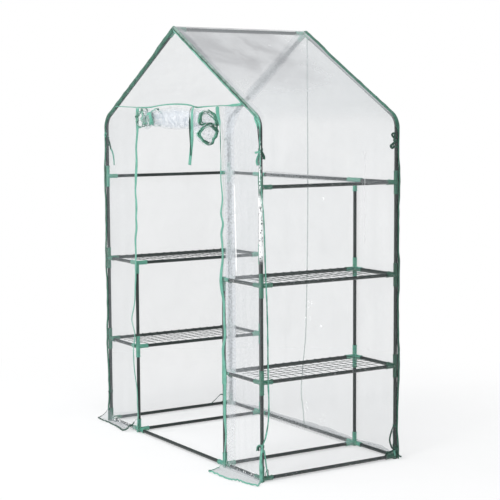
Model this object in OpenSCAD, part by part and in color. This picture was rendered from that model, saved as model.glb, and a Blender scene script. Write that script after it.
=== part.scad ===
// Walk-in garden greenhouse: a push-fit tube frame with two tiers of wire
// shelves on each side, under a clear film cover with a roll-up door.
// X runs across the front, +Y to the rear, +Z up. The origin is on the ground
// under the middle of the frame.

/* [Frame] */
// Width over the tubes
width = 1430; // [1300:10:1700]
// Depth over the tubes
depth = 730; // [650:10:1000]
// Height at which the wall and roof centre lines meet
eave_h = 1530; // [1450:10:1650]
// Rise of the roof from there to the ridge
roof_rise = 408; // [320:4:520]
// Distance between the two post rows that carry a shelf
shelf_w = 302; // [260:2:360]
// Radius of the bend at the eave, on the centre line
bend_r = 70; // [50:5:110]

/* [Tubes] */
// Outer diameter of the steel tube
tube_d = 16; // [14:0.5:19]
// Wall of the steel tube
tube_wall = 0.5; // [0.4:0.1:1.2]

/* [Levels] */
// Height of the ground rails' centre line
foot_h = 13; // [12:1:30]
// Height from one level of connectors to the next
tier_pitch = 412; // [360:4:430]

/* [Connectors] */
// Wall of the moulded sockets
socket_wall = 1.8; // [1.4:0.1:2.4]
// Play between tube and socket, on the radius
socket_play = 0.2; // [0.1:0.05:0.3]
// Reach of a socket from the connector's centre
socket_reach = 52; // [40:1:65]
// Thickness of the solid core on each side of the centre
core_half = 12; // [11:0.5:16]
// Height of the raised rim round a socket's mouth
rim_rise = 0.8; // [0.4:0.1:1.2]
// Length of that rim
rim_len = 5; // [3:0.5:8]

/* [Shelves] */
// Diameter of the shelf wire
wire_d = 2; // [1.6:0.2:3]
// Spacing of the wires that hook over the rails
cross_pitch = 43; // [35:1:60]
// Spacing of the long wires
long_pitch = 43; // [35:1:60]
// How far a hook reaches round its rail, in degrees from the top
hook_angle = 110; // [80:5:150]

/* [Cover] */
// Thickness of the cover's film
film_t = 1; // [0.6:0.1:1.5]
// Gap between the film and what it lies on
film_gap = 0.8; // [0.5:0.1:1.5]
// Height of the seam above the doorway, over the eave
seam_rise = 75; // [50:5:110]
// Visible width of the binding on each side of an edge
binding_w = 12; // [8:1:20]
// Width of the zip tapes beside the doorway
zip_w = 18; // [12:1:24]
// Width of the seam tape down the rear wall
seam_w = 8; // [6:1:16]
// Thickness of all tapes
tape_t = 1; // [0.6:0.1:1.5]
// Reach of the ground skirts beyond the frame's posts
skirt_reach = 103; // [60:1:150]
// How far a front skirt's outer corner flares sideways past the wall
skirt_flare = 62; // [20:1:90]
// How far the rear skirt's ends are cut back
skirt_mitre = 150; // [80:5:200]

/* [Door] */
// Height of the rolled-up door, seen from the front
roll_h = 92; // [70:2:110]
// Depth of the rolled-up door from front to back
roll_d = 60; // [40:2:68]
// How much larger the roll is at its loose end
roll_flare = 1.7; // [1.2:0.05:1.9]
// Length over which it opens
flare_len = 110; // [60:5:150]
// Gap between the roll's ends and the zips
roll_gap = 50; // [20:5:90]
// Width of the straps that hold the roll
strap_w = 15; // [10:1:30]
// Distance of the knotted strap from the middle
strap_left = 215; // [120:5:260]
// Distance of the hanging strap from the middle
strap_right = 165; // [120:5:200]
// Length of the strap end that hangs below the roll
strap_tail = 166; // [80:2:220]

/* [Ties] */
// Width of the tie tapes that hold the cover to the posts
tie_w = 12; // [8:1:16]
// Height of the lower ties above the ground
tie_low = 153; // [120:1:250]
// Height of the upper ties below the eave
tie_drop = 124; // [90:1:160]

/* [Hidden] */
$fn = 48;

tube_green = "#2c3b38";
plastic_green = "#5f9f86";
film_clear = [0.88, 0.93, 0.92, 0.45];
tape_green = "#6fb596";

tube_r = tube_d / 2;
bore_r = tube_r - tube_wall;
socket_r = tube_r + socket_play;
sleeve_r = socket_r + socket_wall;

// Post rows, as distances from the middle
post_x = width / 2 - tube_r;
post_y = depth / 2 - tube_r;
inner_x = post_x - shelf_w;

// Roof: slope, and where the bend leaves the wall
ridge_h = eave_h + roof_rise;
seam_h = eave_h + seam_rise;
slope = atan(roof_rise / post_x);
turn = 90 - slope;
bend_tangent = bend_r * tan(turn / 2);
wall_top = eave_h - bend_tangent;
rafter = norm([post_x, roof_rise]);
bend_draw = 0.05;
bend_lap = 1;

// A tube stops this far from a connector's centre, seat is what it keeps clear
seat = 0.3;
stop = core_half + seat;

// The shelf wire lies on the rails, and its hooks go round the outside of them
wire_r = wire_d / 2;
hook_r = tube_r + seat + wire_r;
weld = wire_d * 0.3;

// The film's inner face, out from the centre lines of the posts
film_in = max(sleeve_r + rim_rise, hook_r + wire_r) + film_gap;
film_out = film_in + film_t;
tape_in = film_out + seat;
tape_out = tape_in + tape_t;
film_low = film_t + seat;

arc_steps = 10;

function level(i) = foot_h + i * tier_pitch;

// Points of the arch seen from the front, at a distance d outside its centre
// line, from the left foot over the ridge to the right foot
function bend_point(d, a) = [
    post_x - bend_r + (bend_r + d) * cos(a),
    wall_top + (bend_r + d) * sin(a)
];
function right_side(d) = [
    [0, ridge_h + d / cos(slope)],
    for (i = [arc_steps:-1:0]) bend_point(d, turn * i / arc_steps)
];
function flip(points) = [
    for (i = [len(points) - 1:-1:0]) [-points[i].x, points[i].y]
];
function arch_outline(d, low) = concat(
    [[-post_x - d, low]],
    flip(right_side(d)),
    right_side(d),
    [[post_x + d, low]]
);

// ---------- tubes ----------

module pipe(length) {
    difference() {
        cylinder(r = tube_r, h = length);
        translate([0, 0, -1]) cylinder(r = bore_r, h = length + 2);
    }
}

// Tubes between two connector centres, along each axis
module pipe_up(x, y, i) {
    translate([x, y, level(i) + stop]) pipe(tier_pitch - 2 * stop);
}
module pipe_x(x0, x1, y, z) {
    translate([x0 + stop, y, z]) rotate([0, 90, 0]) pipe(x1 - x0 - 2 * stop);
}
module pipe_y(x, z) {
    translate([x, stop - post_y, z]) rotate([-90, 0, 0]) pipe(2 * (post_y - stop));
}

module corner_post(x, y) {
    color(tube_green) for (i = [0:2]) pipe_up(x, y, i);
}

module inner_posts(y, segments) {
    color(tube_green)
        for (x = [-inner_x, inner_x], i = [0:segments - 1]) pipe_up(x, y, i);
}

// One bent tube, from the top corner connector round the eave to the ridge.
// Bending draws the wall a little thinner, inside and out.
module bent_tube() {
    translate([post_x, 0, level(3) + stop])
        pipe(wall_top - level(3) - stop + bend_lap);
    translate([post_x - bend_r, 0, wall_top]) rotate([90, 0, 0])
        rotate_extrude(angle = turn) translate([bend_r, 0]) difference() {
            circle(r = tube_r - bend_draw);
            circle(r = bore_r + bend_draw);
        }
    translate([0, 0, ridge_h]) rotate(RIGHT + [0, slope, 0]) translate([0, 0, stop])
        pipe(rafter - bend_tangent - stop + bend_lap);
}
module arch(y) {
    color(tube_green) translate([0, y, 0]) {
        bent_tube();
        mirror([1, 0, 0]) bent_tube();
    }
}

module ridge_pole() {
    color(tube_green) pipe_y(0, ridge_h);
}

module rail_row(y, z) {
    pipe_x(-post_x, -inner_x, y, z);
    pipe_x(-inner_x, inner_x, y, z);
    pipe_x(inner_x, post_x, y, z);
}
module ground_rails_front_rear() {
    color(tube_green) for (y = [-post_y, post_y]) rail_row(y, level(0));
}
module ground_rails_sides() {
    color(tube_green)
        for (x = [-post_x, -inner_x, inner_x, post_x]) pipe_y(x, level(0));
}
module shelf_rails(side, i) {
    near = min(side * inner_x, side * post_x);
    color(tube_green) {
        for (x = [inner_x, post_x]) pipe_y(side * x, level(i));
        for (y = [-post_y, post_y]) pipe_x(near, near + shelf_w, y, level(i));
    }
}
module top_rails() {
    color(tube_green) {
        for (x = [-post_x, post_x]) pipe_y(x, level(3));
        rail_row(post_y, level(3));
    }
}

// ---------- connectors ----------

UP = [0, 0, 0];
DOWN = [180, 0, 0];
RIGHT = [0, 90, 0];
LEFT = [0, -90, 0];
BACK = [-90, 0, 0];
FRONT = [90, 0, 0];

// A sleeve: a plain barrel that steps up to a rim with a bevelled edge
module sleeve() {
    bevel = rim_rise;
    rotate_extrude() polygon([
        [0, 0],
        [sleeve_r, 0],
        [sleeve_r, socket_reach - rim_len - bevel],
        [sleeve_r + rim_rise, socket_reach - rim_len],
        [sleeve_r + rim_rise, socket_reach - bevel],
        [sleeve_r, socket_reach],
        [0, socket_reach]
    ]);
}
module connector(arms, foot = false) {
    difference() {
        union() {
            sphere(r = sleeve_r + rim_rise);
            for (a = arms) rotate(a) sleeve();
            if (foot) translate([0, 0, -foot_h]) cylinder(r = sleeve_r, h = foot_h);
        }
        for (a = arms) rotate(a) translate([0, 0, core_half])
            cylinder(r = socket_r, h = socket_reach);
    }
}
// The arm that points from a row of posts to the middle
function inward_x(x) = x < 0 ? RIGHT : LEFT;
function inward_y(y) = y < 0 ? BACK : FRONT;

module corner_connectors(z, more, foot = false) {
    color(plastic_green) for (x = [-post_x, post_x], y = [-post_y, post_y])
        translate([x, y, z])
            connector(concat([UP, inward_x(x), inward_y(y)], more), foot);
}
module ground_corner_connectors() {
    corner_connectors(level(0), [], true);
}
module ground_tee_connectors() {
    color(plastic_green) for (x = [-inner_x, inner_x], y = [-post_y, post_y])
        translate([x, y, level(0)]) connector([UP, LEFT, RIGHT, inward_y(y)], true);
}
module lower_tee_connectors() {
    color(plastic_green) for (x = [-inner_x, inner_x], y = [-post_y, post_y])
        translate([x, y, level(1)]) connector([UP, DOWN, inward_x(-x), inward_y(y)]);
}
// The front posts end at this level, and the rear ones go on up
module upper_tee_connectors() {
    color(plastic_green) for (x = [-inner_x, inner_x]) {
        translate([x, -post_y, level(2)]) connector([DOWN, inward_x(-x), BACK]);
        translate([x, post_y, level(2)]) connector([UP, DOWN, inward_x(-x), FRONT]);
    }
}
module top_corner_connectors() {
    color(plastic_green) for (x = [-post_x, post_x]) {
        translate([x, -post_y, level(3)]) connector([UP, DOWN, BACK]);
        translate([x, post_y, level(3)]) connector([UP, DOWN, FRONT, inward_x(x)]);
    }
}
module top_tee_connectors() {
    color(plastic_green) for (x = [-inner_x, inner_x])
        translate([x, post_y, level(3)]) connector([DOWN, LEFT, RIGHT]);
}
module ridge_connectors() {
    down_right = RIGHT + [0, slope, 0];
    color(plastic_green) for (y = [-post_y, post_y])
        translate([0, y, ridge_h]) connector([down_right, -down_right, inward_y(y)]);
}

// ---------- wire shelves ----------

wire_sides = 8;
cross_span = 2 * (post_y - socket_reach - wire_d);
cross_count = floor(cross_span / cross_pitch) + 1;
long_count = floor((shelf_w - 2 * sleeve_r) / long_pitch);
long_end = post_y - sleeve_r - rim_rise - wire_d;

module wire(length) {
    rotate([0, 0, 180 / wire_sides])
        cylinder(r = wire_r, h = length, center = true, $fn = wire_sides);
}
// A wire across the shelf, with a hook round the rail at each end
module cross_wire() {
    translate([0, 0, hook_r]) rotate([0, 90, 0]) wire(shelf_w);
    for (side = [0, 1]) mirror([side, 0, 0]) translate([shelf_w / 2, 0, 0])
        rotate([90, 0, 0]) rotate([0, 0, 90 - hook_angle])
            rotate_extrude(angle = hook_angle, $fn = 24) translate([hook_r, 0])
                rotate([0, 0, 180 / wire_sides]) circle(r = wire_r, $fn = wire_sides);
}
module shelf(side, i) {
    color(tube_green) translate([side * (inner_x + post_x) / 2, 0, level(i)]) {
        for (k = [0:cross_count - 1])
            translate([0, (k - (cross_count - 1) / 2) * cross_pitch, 0]) cross_wire();
        for (k = [0:long_count - 1])
            translate([(k - (long_count - 1) / 2) * long_pitch, 0, hook_r + wire_d - weld])
                rotate([90, 0, 0]) wire(2 * long_end);
    }
}

// ---------- film cover ----------

// A plate of the arch's outline, cut to the box [x0, x1] by [z0, z1]
module gable_plate(x0, x1, z0, z1) {
    rotate([90, 0, 0]) linear_extrude(film_t) intersection() {
        polygon(arch_outline(film_in - seat, film_low));
        translate([x0, z0]) square([x1 - x0, z1 - z0]);
    }
}
// Where the front and rear films stand
front_film = -(post_y + film_in);
rear_film = post_y + film_out;
sheet_len = 2 * (post_y + film_in - seat);

module side_wall(side) {
    x = side < 0 ? -post_x - film_out : post_x + film_in;
    color(film_clear) translate([x, -sheet_len / 2, film_low])
        cube([film_t, sheet_len, wall_top - film_low - seat / 2]);
}
module roof_half() {
    outer = right_side(film_out);
    inner = right_side(film_in);
    last = len(outer) - 1;
    color(film_clear) translate([0, sheet_len / 2, 0]) rotate([90, 0, 0])
        linear_extrude(sheet_len) intersection() {
            polygon(concat(outer, [for (i = [last:-1:0]) inner[i]]));
            translate([seat / 2, wall_top + seat / 2]) square(width);
        }
}
module roof_film(side) {
    if (side < 0) mirror([1, 0, 0]) roof_half();
    else roof_half();
}
module wall_film_rear() {
    top = ridge_h + film_out;
    color(film_clear) translate([0, rear_film, 0]) {
        gable_plate(-width, -seat / 2, film_low, 2 * top);
        gable_plate(seat / 2, width, film_low, 2 * top);
    }
}
module gable_film_front() {
    color(film_clear) translate([0, front_film, 0])
        gable_plate(-width, width, seam_h + seat / 2, 2 * ridge_h);
}
module front_panel(side) {
    x0 = side < 0 ? -width : inner_x;
    x1 = side < 0 ? -inner_x : width;
    color(film_clear) translate([0, front_film, 0])
        gable_plate(x0, x1, film_low, seam_h - seat / 2);
}
// Flaps of the cover that lie on the ground, wider at the outer edge
skirt_in = film_in + film_t / 2;
module skirt(x0, x1, flare0, flare1) {
    linear_extrude(film_t) polygon([
        [x0, post_y + skirt_in],
        [x1, post_y + skirt_in],
        [x1 + flare1, post_y + skirt_reach],
        [x0 - flare0, post_y + skirt_reach]
    ]);
}
module ground_skirts() {
    edge = post_x + film_in;
    fold = skirt_flare / 2;
    color(film_clear) {
        skirt(-edge, edge, -skirt_mitre, -skirt_mitre);
        mirror([0, 1, 0]) {
            skirt(-edge, -inner_x, skirt_flare, fold);
            skirt(inner_x, edge, fold, skirt_flare);
        }
    }
}

// ---------- tapes ----------

// Binding folded over the edge between a gable and the walls and roof
module binding() {
    color(tape_green) {
        translate([0, -front_film + seat + tape_t, 0])
            rotate([90, 0, 0]) linear_extrude(tape_t) difference() {
                polygon(arch_outline(tape_out, film_low));
                polygon(arch_outline(tape_out - binding_w, film_low - 1));
            }
        translate([0, -front_film + seat + tape_t / 2, 0])
            rotate([90, 0, 0]) linear_extrude(binding_w) difference() {
                polygon(arch_outline(tape_out, film_low));
                polygon(arch_outline(tape_in, film_low - 1));
            }
    }
}
module rear_binding() {
    translate([0, film_t, 0]) binding();
}
module front_binding() {
    mirror([0, 1, 0]) rear_binding();
}
// Outer face of the front film, and where a tape on it ends
tape_y = post_y + tape_out;

module front_strip(x, z0, z1, w) {
    translate([x - w / 2, -tape_y, z0]) cube([w, tape_t, z1 - z0]);
}
module zip_tapes() {
    color(tape_green) for (x = [-inner_x, inner_x])
        front_strip(x, film_low, seam_h, zip_w);
}
module rear_seam_tape() {
    color(tape_green) translate([-seam_w / 2, tape_y - tape_t, film_low])
        cube([seam_w, tape_t, ridge_h - seam_w - film_low]);
}

// ---------- rolled-up door ----------

// The roll hangs under the seam, in the doorway, and opens at its right-hand end
roll_top = seam_h - tape_t - seat;
roll_y = front_film - film_t / 2;
roll_half = inner_x - zip_w / 2 - roll_gap;

// An upright oval that hangs from the line it is turned about
module roll_profile() {
    r = roll_d / 2;
    translate([0, -roll_h / 2]) {
        for (z = [r - roll_h / 2, roll_h / 2 - r]) translate([0, z]) circle(r = r);
        square([roll_d, roll_h - roll_d], center = true);
    }
}
module door_roll() {
    color(film_clear) translate([0, roll_y, roll_top]) {
        translate([-roll_half, 0, 0]) rotate([90, 0, 90])
            linear_extrude(2 * roll_half - flare_len) roll_profile();
        translate([roll_half - flare_len, 0, 0]) rotate([90, 0, 90])
            linear_extrude(flare_len, scale = roll_flare) roll_profile();
    }
}
// A strap is sewn to the seam and goes round the roll
module strap(x, tail) {
    reach = roll_d / 2 + seat + tape_t;
    low = roll_h + 2 * (seat + tape_t);
    translate([x - strap_w / 2, roll_y, seam_h]) {
        rotate([90, 0, 90]) linear_extrude(strap_w) difference() {
            translate([-reach, -low]) square([2 * reach, low]);
            translate([tape_t - reach, tape_t - low])
                square([2 * (reach - tape_t), low - 2 * tape_t]);
        }
        if (tail > 0) translate([0, -reach, -low - tail])
            cube([strap_w, tape_t, tail + tape_t]);
    }
}
module door_straps() {
    color(tape_green) {
        strap(-strap_left, 0);
        strap(strap_right, strap_tail);
    }
}

// ---------- ties ----------

// A tape knotted round a post, with two short ends
module tie() {
    ring_r = tube_r + seat;
    difference() {
        cylinder(r = ring_r + tape_t, h = tie_w, center = true);
        cylinder(r = ring_r, h = tie_w + 1, center = true);
    }
    translate([ring_r, -tie_w / 4, -tie_w / 4]) cube(tie_w / 2);
}
module tie_tapes() {
    color(tape_green) for (x = [-1, 1], y = [-1, 1], z = [tie_low, eave_h - tie_drop])
        translate([x * post_x, y * post_y, z]) rotate([0, 0, x < 0 ? 0 : 180]) tie();
}

corner_post(-post_x, -post_y);  // corner_post_front_left
corner_post(post_x, -post_y);  // corner_post_front_right
corner_post(-post_x, post_y);  // corner_post_rear_left
corner_post(post_x, post_y);  // corner_post_rear_right
inner_posts(-post_y, 2);  // front_inner_posts
inner_posts(post_y, 3);  // rear_inner_posts
arch(-post_y);  // front_arch
arch(post_y);  // rear_arch
ridge_pole();
ground_rails_front_rear();
ground_rails_sides();
shelf_rails(-1, 1);  // lower_shelf_rails_left
shelf_rails(1, 1);  // lower_shelf_rails_right
shelf_rails(-1, 2);  // upper_shelf_rails_left
shelf_rails(1, 2);  // upper_shelf_rails_right
top_rails();
ground_corner_connectors();
ground_tee_connectors();
corner_connectors(level(1), [DOWN]);  // lower_corner_connectors
lower_tee_connectors();
corner_connectors(level(2), [DOWN]);  // upper_corner_connectors
upper_tee_connectors();
top_corner_connectors();
top_tee_connectors();
ridge_connectors();
shelf(-1, 1);  // lower_shelf_left
shelf(1, 1);  // lower_shelf_right
shelf(-1, 2);  // upper_shelf_left
shelf(1, 2);  // upper_shelf_right
roof_film(-1);  // roof_film_left
roof_film(1);  // roof_film_right
side_wall(-1);  // wall_film_left
side_wall(1);  // wall_film_right
wall_film_rear();
gable_film_front();
front_panel(-1);  // front_panel_left
front_panel(1);  // front_panel_right
ground_skirts();
door_roll();
door_straps();
zip_tapes();
front_binding();
rear_binding();
rear_seam_tape();
tie_tapes();
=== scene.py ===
import math
import bmesh
import bpy
import numpy as np
from mathutils import Matrix, Vector


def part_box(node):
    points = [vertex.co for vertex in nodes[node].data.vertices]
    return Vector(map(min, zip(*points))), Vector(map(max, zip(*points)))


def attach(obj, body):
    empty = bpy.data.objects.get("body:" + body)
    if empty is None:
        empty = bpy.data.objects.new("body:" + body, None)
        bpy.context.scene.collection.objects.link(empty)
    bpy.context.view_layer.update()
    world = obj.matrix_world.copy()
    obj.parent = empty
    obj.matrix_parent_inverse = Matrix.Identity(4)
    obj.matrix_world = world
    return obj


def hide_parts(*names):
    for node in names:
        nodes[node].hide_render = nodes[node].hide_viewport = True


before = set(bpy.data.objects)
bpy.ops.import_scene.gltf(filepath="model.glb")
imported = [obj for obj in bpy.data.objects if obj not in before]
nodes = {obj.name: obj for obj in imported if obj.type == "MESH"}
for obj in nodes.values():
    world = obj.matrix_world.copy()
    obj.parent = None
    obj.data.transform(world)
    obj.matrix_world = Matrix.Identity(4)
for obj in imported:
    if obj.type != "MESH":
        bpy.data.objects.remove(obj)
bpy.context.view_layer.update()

scene = bpy.context.scene
print("frame:", len(nodes), "nodes")

# Sizes that the film and the tapes follow, taken from the frame


def middle(node, axis):
    low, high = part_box(node)
    return (low[axis] + high[axis]) / 2


tubeR = (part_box("corner_post_front_right")[1].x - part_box("corner_post_front_right")[0].x) / 2
postX = middle("corner_post_front_right", 0)
postY = middle("corner_post_rear_right", 1)
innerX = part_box("front_inner_posts")[1].x - tubeR
filmX = middle("wall_film_right", 0)
filmY = middle("wall_film_rear", 1)
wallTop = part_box("wall_film_right")[1].z
ridgeZ = middle("ridge_pole", 2)
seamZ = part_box("gable_film_front")[0].z
railZ = [middle("ground_rails_sides", 2), middle("lower_shelf_rails_left", 2),
         middle("upper_shelf_rails_left", 2), middle("top_rails", 2)]
bendR = 0.070        # centre line of the bent tube at the eave
filmLow = 0.0016     # the film's lower edge, just off the ground
slope = math.radians(30)
for _ in range(30):
    eaveZ = wallTop + bendR * math.tan((math.pi / 2 - slope) / 2)
    slope = math.atan((ridgeZ - eaveZ) / postX)
filmOut = filmX - postX
pieces = []


# Curves and waves

def smooth(t):
    t = np.clip(t, 0, 1)
    return t * t * (3 - 2 * t)


def through(knots, at):      # smooth curve through (position, value, ...) knots
    knots = np.array(knots, float)
    t, v = knots[:, 0], knots[:, 1:]
    steep = np.gradient(v, t, axis=0)
    at = np.clip(np.asarray(at, float), t[0], t[-1])
    i = np.clip(np.searchsorted(t, at) - 1, 0, len(t) - 2)
    span = (t[i + 1] - t[i])[..., None]
    f = (at - t[i])[..., None] / span
    out = ((1 + 2 * f) * (1 - f) ** 2 * v[i] + f * (1 - f) ** 2 * span * steep[i]
           + f * f * (3 - 2 * f) * v[i + 1] + f * f * (f - 1) * span * steep[i + 1])
    return out[..., 0] if v.shape[1] == 1 else out


def lengths(points):
    steps = np.linalg.norm(np.diff(points, axis=0), axis=1)
    return np.concatenate([[0], np.cumsum(steps)])


def pathThrough(points, step):      # points at equal steps on a smooth path through the given ones
    points = np.array(points, float)
    t = lengths(points)
    fine = through(np.column_stack([t, points]), np.linspace(0, t[-1], 16 * len(points)))
    s = lengths(fine)
    at = np.linspace(0, s[-1], max(3, int(round(s[-1] / step)) + 1))
    return np.column_stack([np.interp(at, s, fine[:, k]) for k in range(3)])


def unit(v):
    return v / np.maximum(np.linalg.norm(v, axis=-1, keepdims=True), 1e-9)


def waves(u, v, seed, count, shortest, longest, lean):      # soft folds that run mostly along v
    rng = np.random.default_rng(seed)
    total = np.zeros(np.broadcast(u, v).shape)
    for _ in range(count):
        length = rng.uniform(shortest, longest)
        angle = rng.normal(0, lean)
        phase, slow, start = rng.uniform(0, 2 * math.pi, 3)
        along = u * math.cos(angle) + v * math.sin(angle)
        along = along + 0.22 * length * np.sin(v * (1.5 + slow) + start)
        total += np.sin(2 * math.pi * along / length + phase)
    return total / math.sqrt(count)


def creases(u, at, width):      # narrow ridges where the film was folded for packing
    total = np.zeros_like(u)
    for k, place in enumerate(at):
        total += (-1) ** k * np.exp(-np.abs(u - place) / width)
    return total


# The arch seen from the front, at a distance outside the tube's centre line

def archCurve(out, step=0.002):
    turn = math.pi / 2 - slope
    a = np.linspace(0, turn, 40)
    bend = np.column_stack([postX - bendR + (bendR + out) * np.cos(a),
                            wallTop + (bendR + out) * np.sin(a)])
    corner = np.array([[postX + out, filmLow]])
    top = np.array([[0.0, ridgeZ + out / math.cos(slope)]])
    points = np.concatenate([corner, bend, top])
    s = lengths(points)
    at = np.linspace(0, s[-1], int(s[-1] / step))
    x, z = np.interp(at, s, points[:, 0]), np.interp(at, s, points[:, 1])
    angle = np.interp(at, s, np.concatenate([[0], a, [turn]]))
    return at, x, z, np.cos(angle), np.sin(angle)


archS, archX, archZ, archNx, archNz = archCurve(filmOut)
archLength = archS[-1]


def outlineX(z):
    return np.interp(z, archZ, archX)


# Slack of the cover at its corners, away from the posts: (height, outward in mm)
cornerSlack = {
    (1, -1): [(0, 2), (0.10, 3), (0.155, 1), (0.20, 4), (0.27, 6), (0.40, 5), (0.60, 4),
              (0.80, 3), (0.95, 2), (1.20, 0), (1.40, 0), (1.50, 0), (2.4, 0)],
    (-1, -1): [(0, 1), (0.155, 0), (0.35, 2), (0.60, 1), (1.0, 2), (1.40, 0), (2.4, 0)],
    (1, 1): [(0, 1), (0.155, 0), (0.30, 2), (0.50, 3), (0.70, 1), (1.1, 1), (1.40, 0), (2.4, 0)],
    (-1, 1): [(0, 1), (0.155, 0), (0.30, 2), (0.70, 2), (1.1, 1), (1.40, 0), (2.4, 0)],
}
socketZ = 0.056      # half the height that a connector takes along a post
rimRise = 0.0030     # how far its rims hold the film off the tubes
filmRoom = 0.0012    # how far the film may go in where a rail lies behind it
tapeThick = 0.0011   # one layer of sewn tape


def slackAt(sideX, sideY, z):
    return through(cornerSlack[sideX, sideY], z) / 1000


def awayFrom(rails, z):      # distance to the nearest rail
    return np.min([np.abs(z - rail) for rail in rails], axis=0)


def settleAt(z):      # how far the film sinks to the tubes between the connectors' raised rims
    return rimRise * smooth((awayFrom(railZ + [ridgeZ], z) - socketZ) / 0.06)


# Meshes: a part is (points, faces, uv in metres)

def gridFaces(rows, cols, offset=0, flip=False):
    faces = []
    for i in range(rows - 1):
        for j in range(cols - 1):
            a = offset + i * cols + j
            quad = (a, a + 1, a + cols + 1, a + cols)
            faces.append(quad[::-1] if flip else quad)
    return faces


def gridUv(grid):
    across = np.linalg.norm(np.diff(grid, axis=1), axis=2)
    along = np.linalg.norm(np.diff(grid, axis=0), axis=2)
    u = np.concatenate([np.zeros((grid.shape[0], 1)), np.cumsum(across, axis=1)], axis=1)
    v = np.concatenate([np.zeros((1, grid.shape[1])), np.cumsum(along, axis=0)], axis=0)
    return np.stack([u, v], axis=2).reshape(-1, 2)


def gridNormals(grid):
    du = np.gradient(grid, axis=1)
    dv = np.gradient(grid, axis=0)
    return unit(np.cross(du, dv))


def sheetPart(grid, flip=False):
    return grid.reshape(-1, 3), gridFaces(*grid.shape[:2], flip=flip), gridUv(grid)


def stripPart(grid, thick, normals=None):      # closed strip round a grid
    rows, cols = grid.shape[:2]
    normals = gridNormals(grid) if normals is None else normals
    top, under = grid + normals * thick / 2, grid - normals * thick / 2
    n = rows * cols
    points = np.concatenate([top.reshape(-1, 3), under.reshape(-1, 3)])
    faces = gridFaces(rows, cols) + gridFaces(rows, cols, n, True)
    rim = ([j for j in range(cols)] + [i * cols + cols - 1 for i in range(1, rows)]
           + [(rows - 1) * cols + j for j in range(cols - 2, -1, -1)]
           + [i * cols for i in range(rows - 2, 0, -1)])
    for k, a in enumerate(rim):
        b = rim[(k + 1) % len(rim)]
        faces.append((b, a, a + n, b + n))
    return points, faces, np.concatenate([gridUv(grid)] * 2)


def makePiece(name, parts, material):
    points, faces, uvs = [], [], []
    count = 0
    for p, f, uv in parts:
        points.append(p)
        faces += [tuple(i + count for i in face) for face in f]
        uvs.append(uv)
        count += len(p)
    points, uvs = np.concatenate(points), np.concatenate(uvs)
    mesh = bpy.data.meshes.new(name)
    mesh.from_pydata([tuple(p) for p in points], [], faces)
    layer = mesh.uv_layers.new(name="sewn")
    order = np.empty(len(mesh.loops), int)
    mesh.loops.foreach_get("vertex_index", order)
    layer.data.foreach_set("uv", uvs[order].astype(np.float32).ravel())
    build = bmesh.new()
    build.from_mesh(mesh)
    bmesh.ops.remove_doubles(build, verts=build.verts, dist=1e-5)
    build.to_mesh(mesh)
    build.free()
    mesh.polygons.foreach_set("use_smooth", [True] * len(mesh.polygons))
    mesh.materials.append(material)
    piece = bpy.data.objects.new(name, mesh)
    scene.collection.objects.link(piece)
    finishPiece(piece)
    return piece


def finishPiece(piece):
    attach(piece, "root")
    pieces.append(piece)


def ribbonGrid(path, across, width, cols=3):
    offsets = np.linspace(-0.5, 0.5, cols)
    width = np.broadcast_to(np.asarray(width, float), len(path))
    return path[:, None, :] + across[:, None, :] * offsets[None, :, None] * width[:, None, None]


def acrossFrom(path, facing):      # width direction of a ribbon whose face points along facing
    tangent = unit(np.gradient(path, axis=0))
    return unit(np.cross(tangent, facing))


# Materials

def paint(code):      # sRGB hex to linear
    channels = [int(code[i:i + 2], 16) / 255 for i in (1, 3, 5)]
    return [c / 12.92 if c <= 0.04045 else ((c + 0.055) / 1.055) ** 2.4 for c in channels] + [1.0]


def socketOf(sockets, key):
    for s in sockets:
        if s.identifier == key:
            return s
    return sockets[key]      # by name, or by place in the list


def addNode(tree, kind, settings=None, links=None):
    node = tree.nodes.new(kind)
    for key, value in (settings or {}).items():
        if isinstance(key, str) and hasattr(node, key):
            setattr(node, key, value)
        else:
            socketOf(node.inputs, key).default_value = value
    for key, source in (links or {}).items():
        tree.links.new(source, socketOf(node.inputs, key))
    return node


def newMaterial(name):
    material = bpy.data.materials.new(name)
    material.use_nodes = True
    tree = material.node_tree
    tree.nodes.clear()
    return material, tree


def closeMaterial(tree, shader):
    addNode(tree, "ShaderNodeOutputMaterial", {}, {"Surface": shader})


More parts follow.
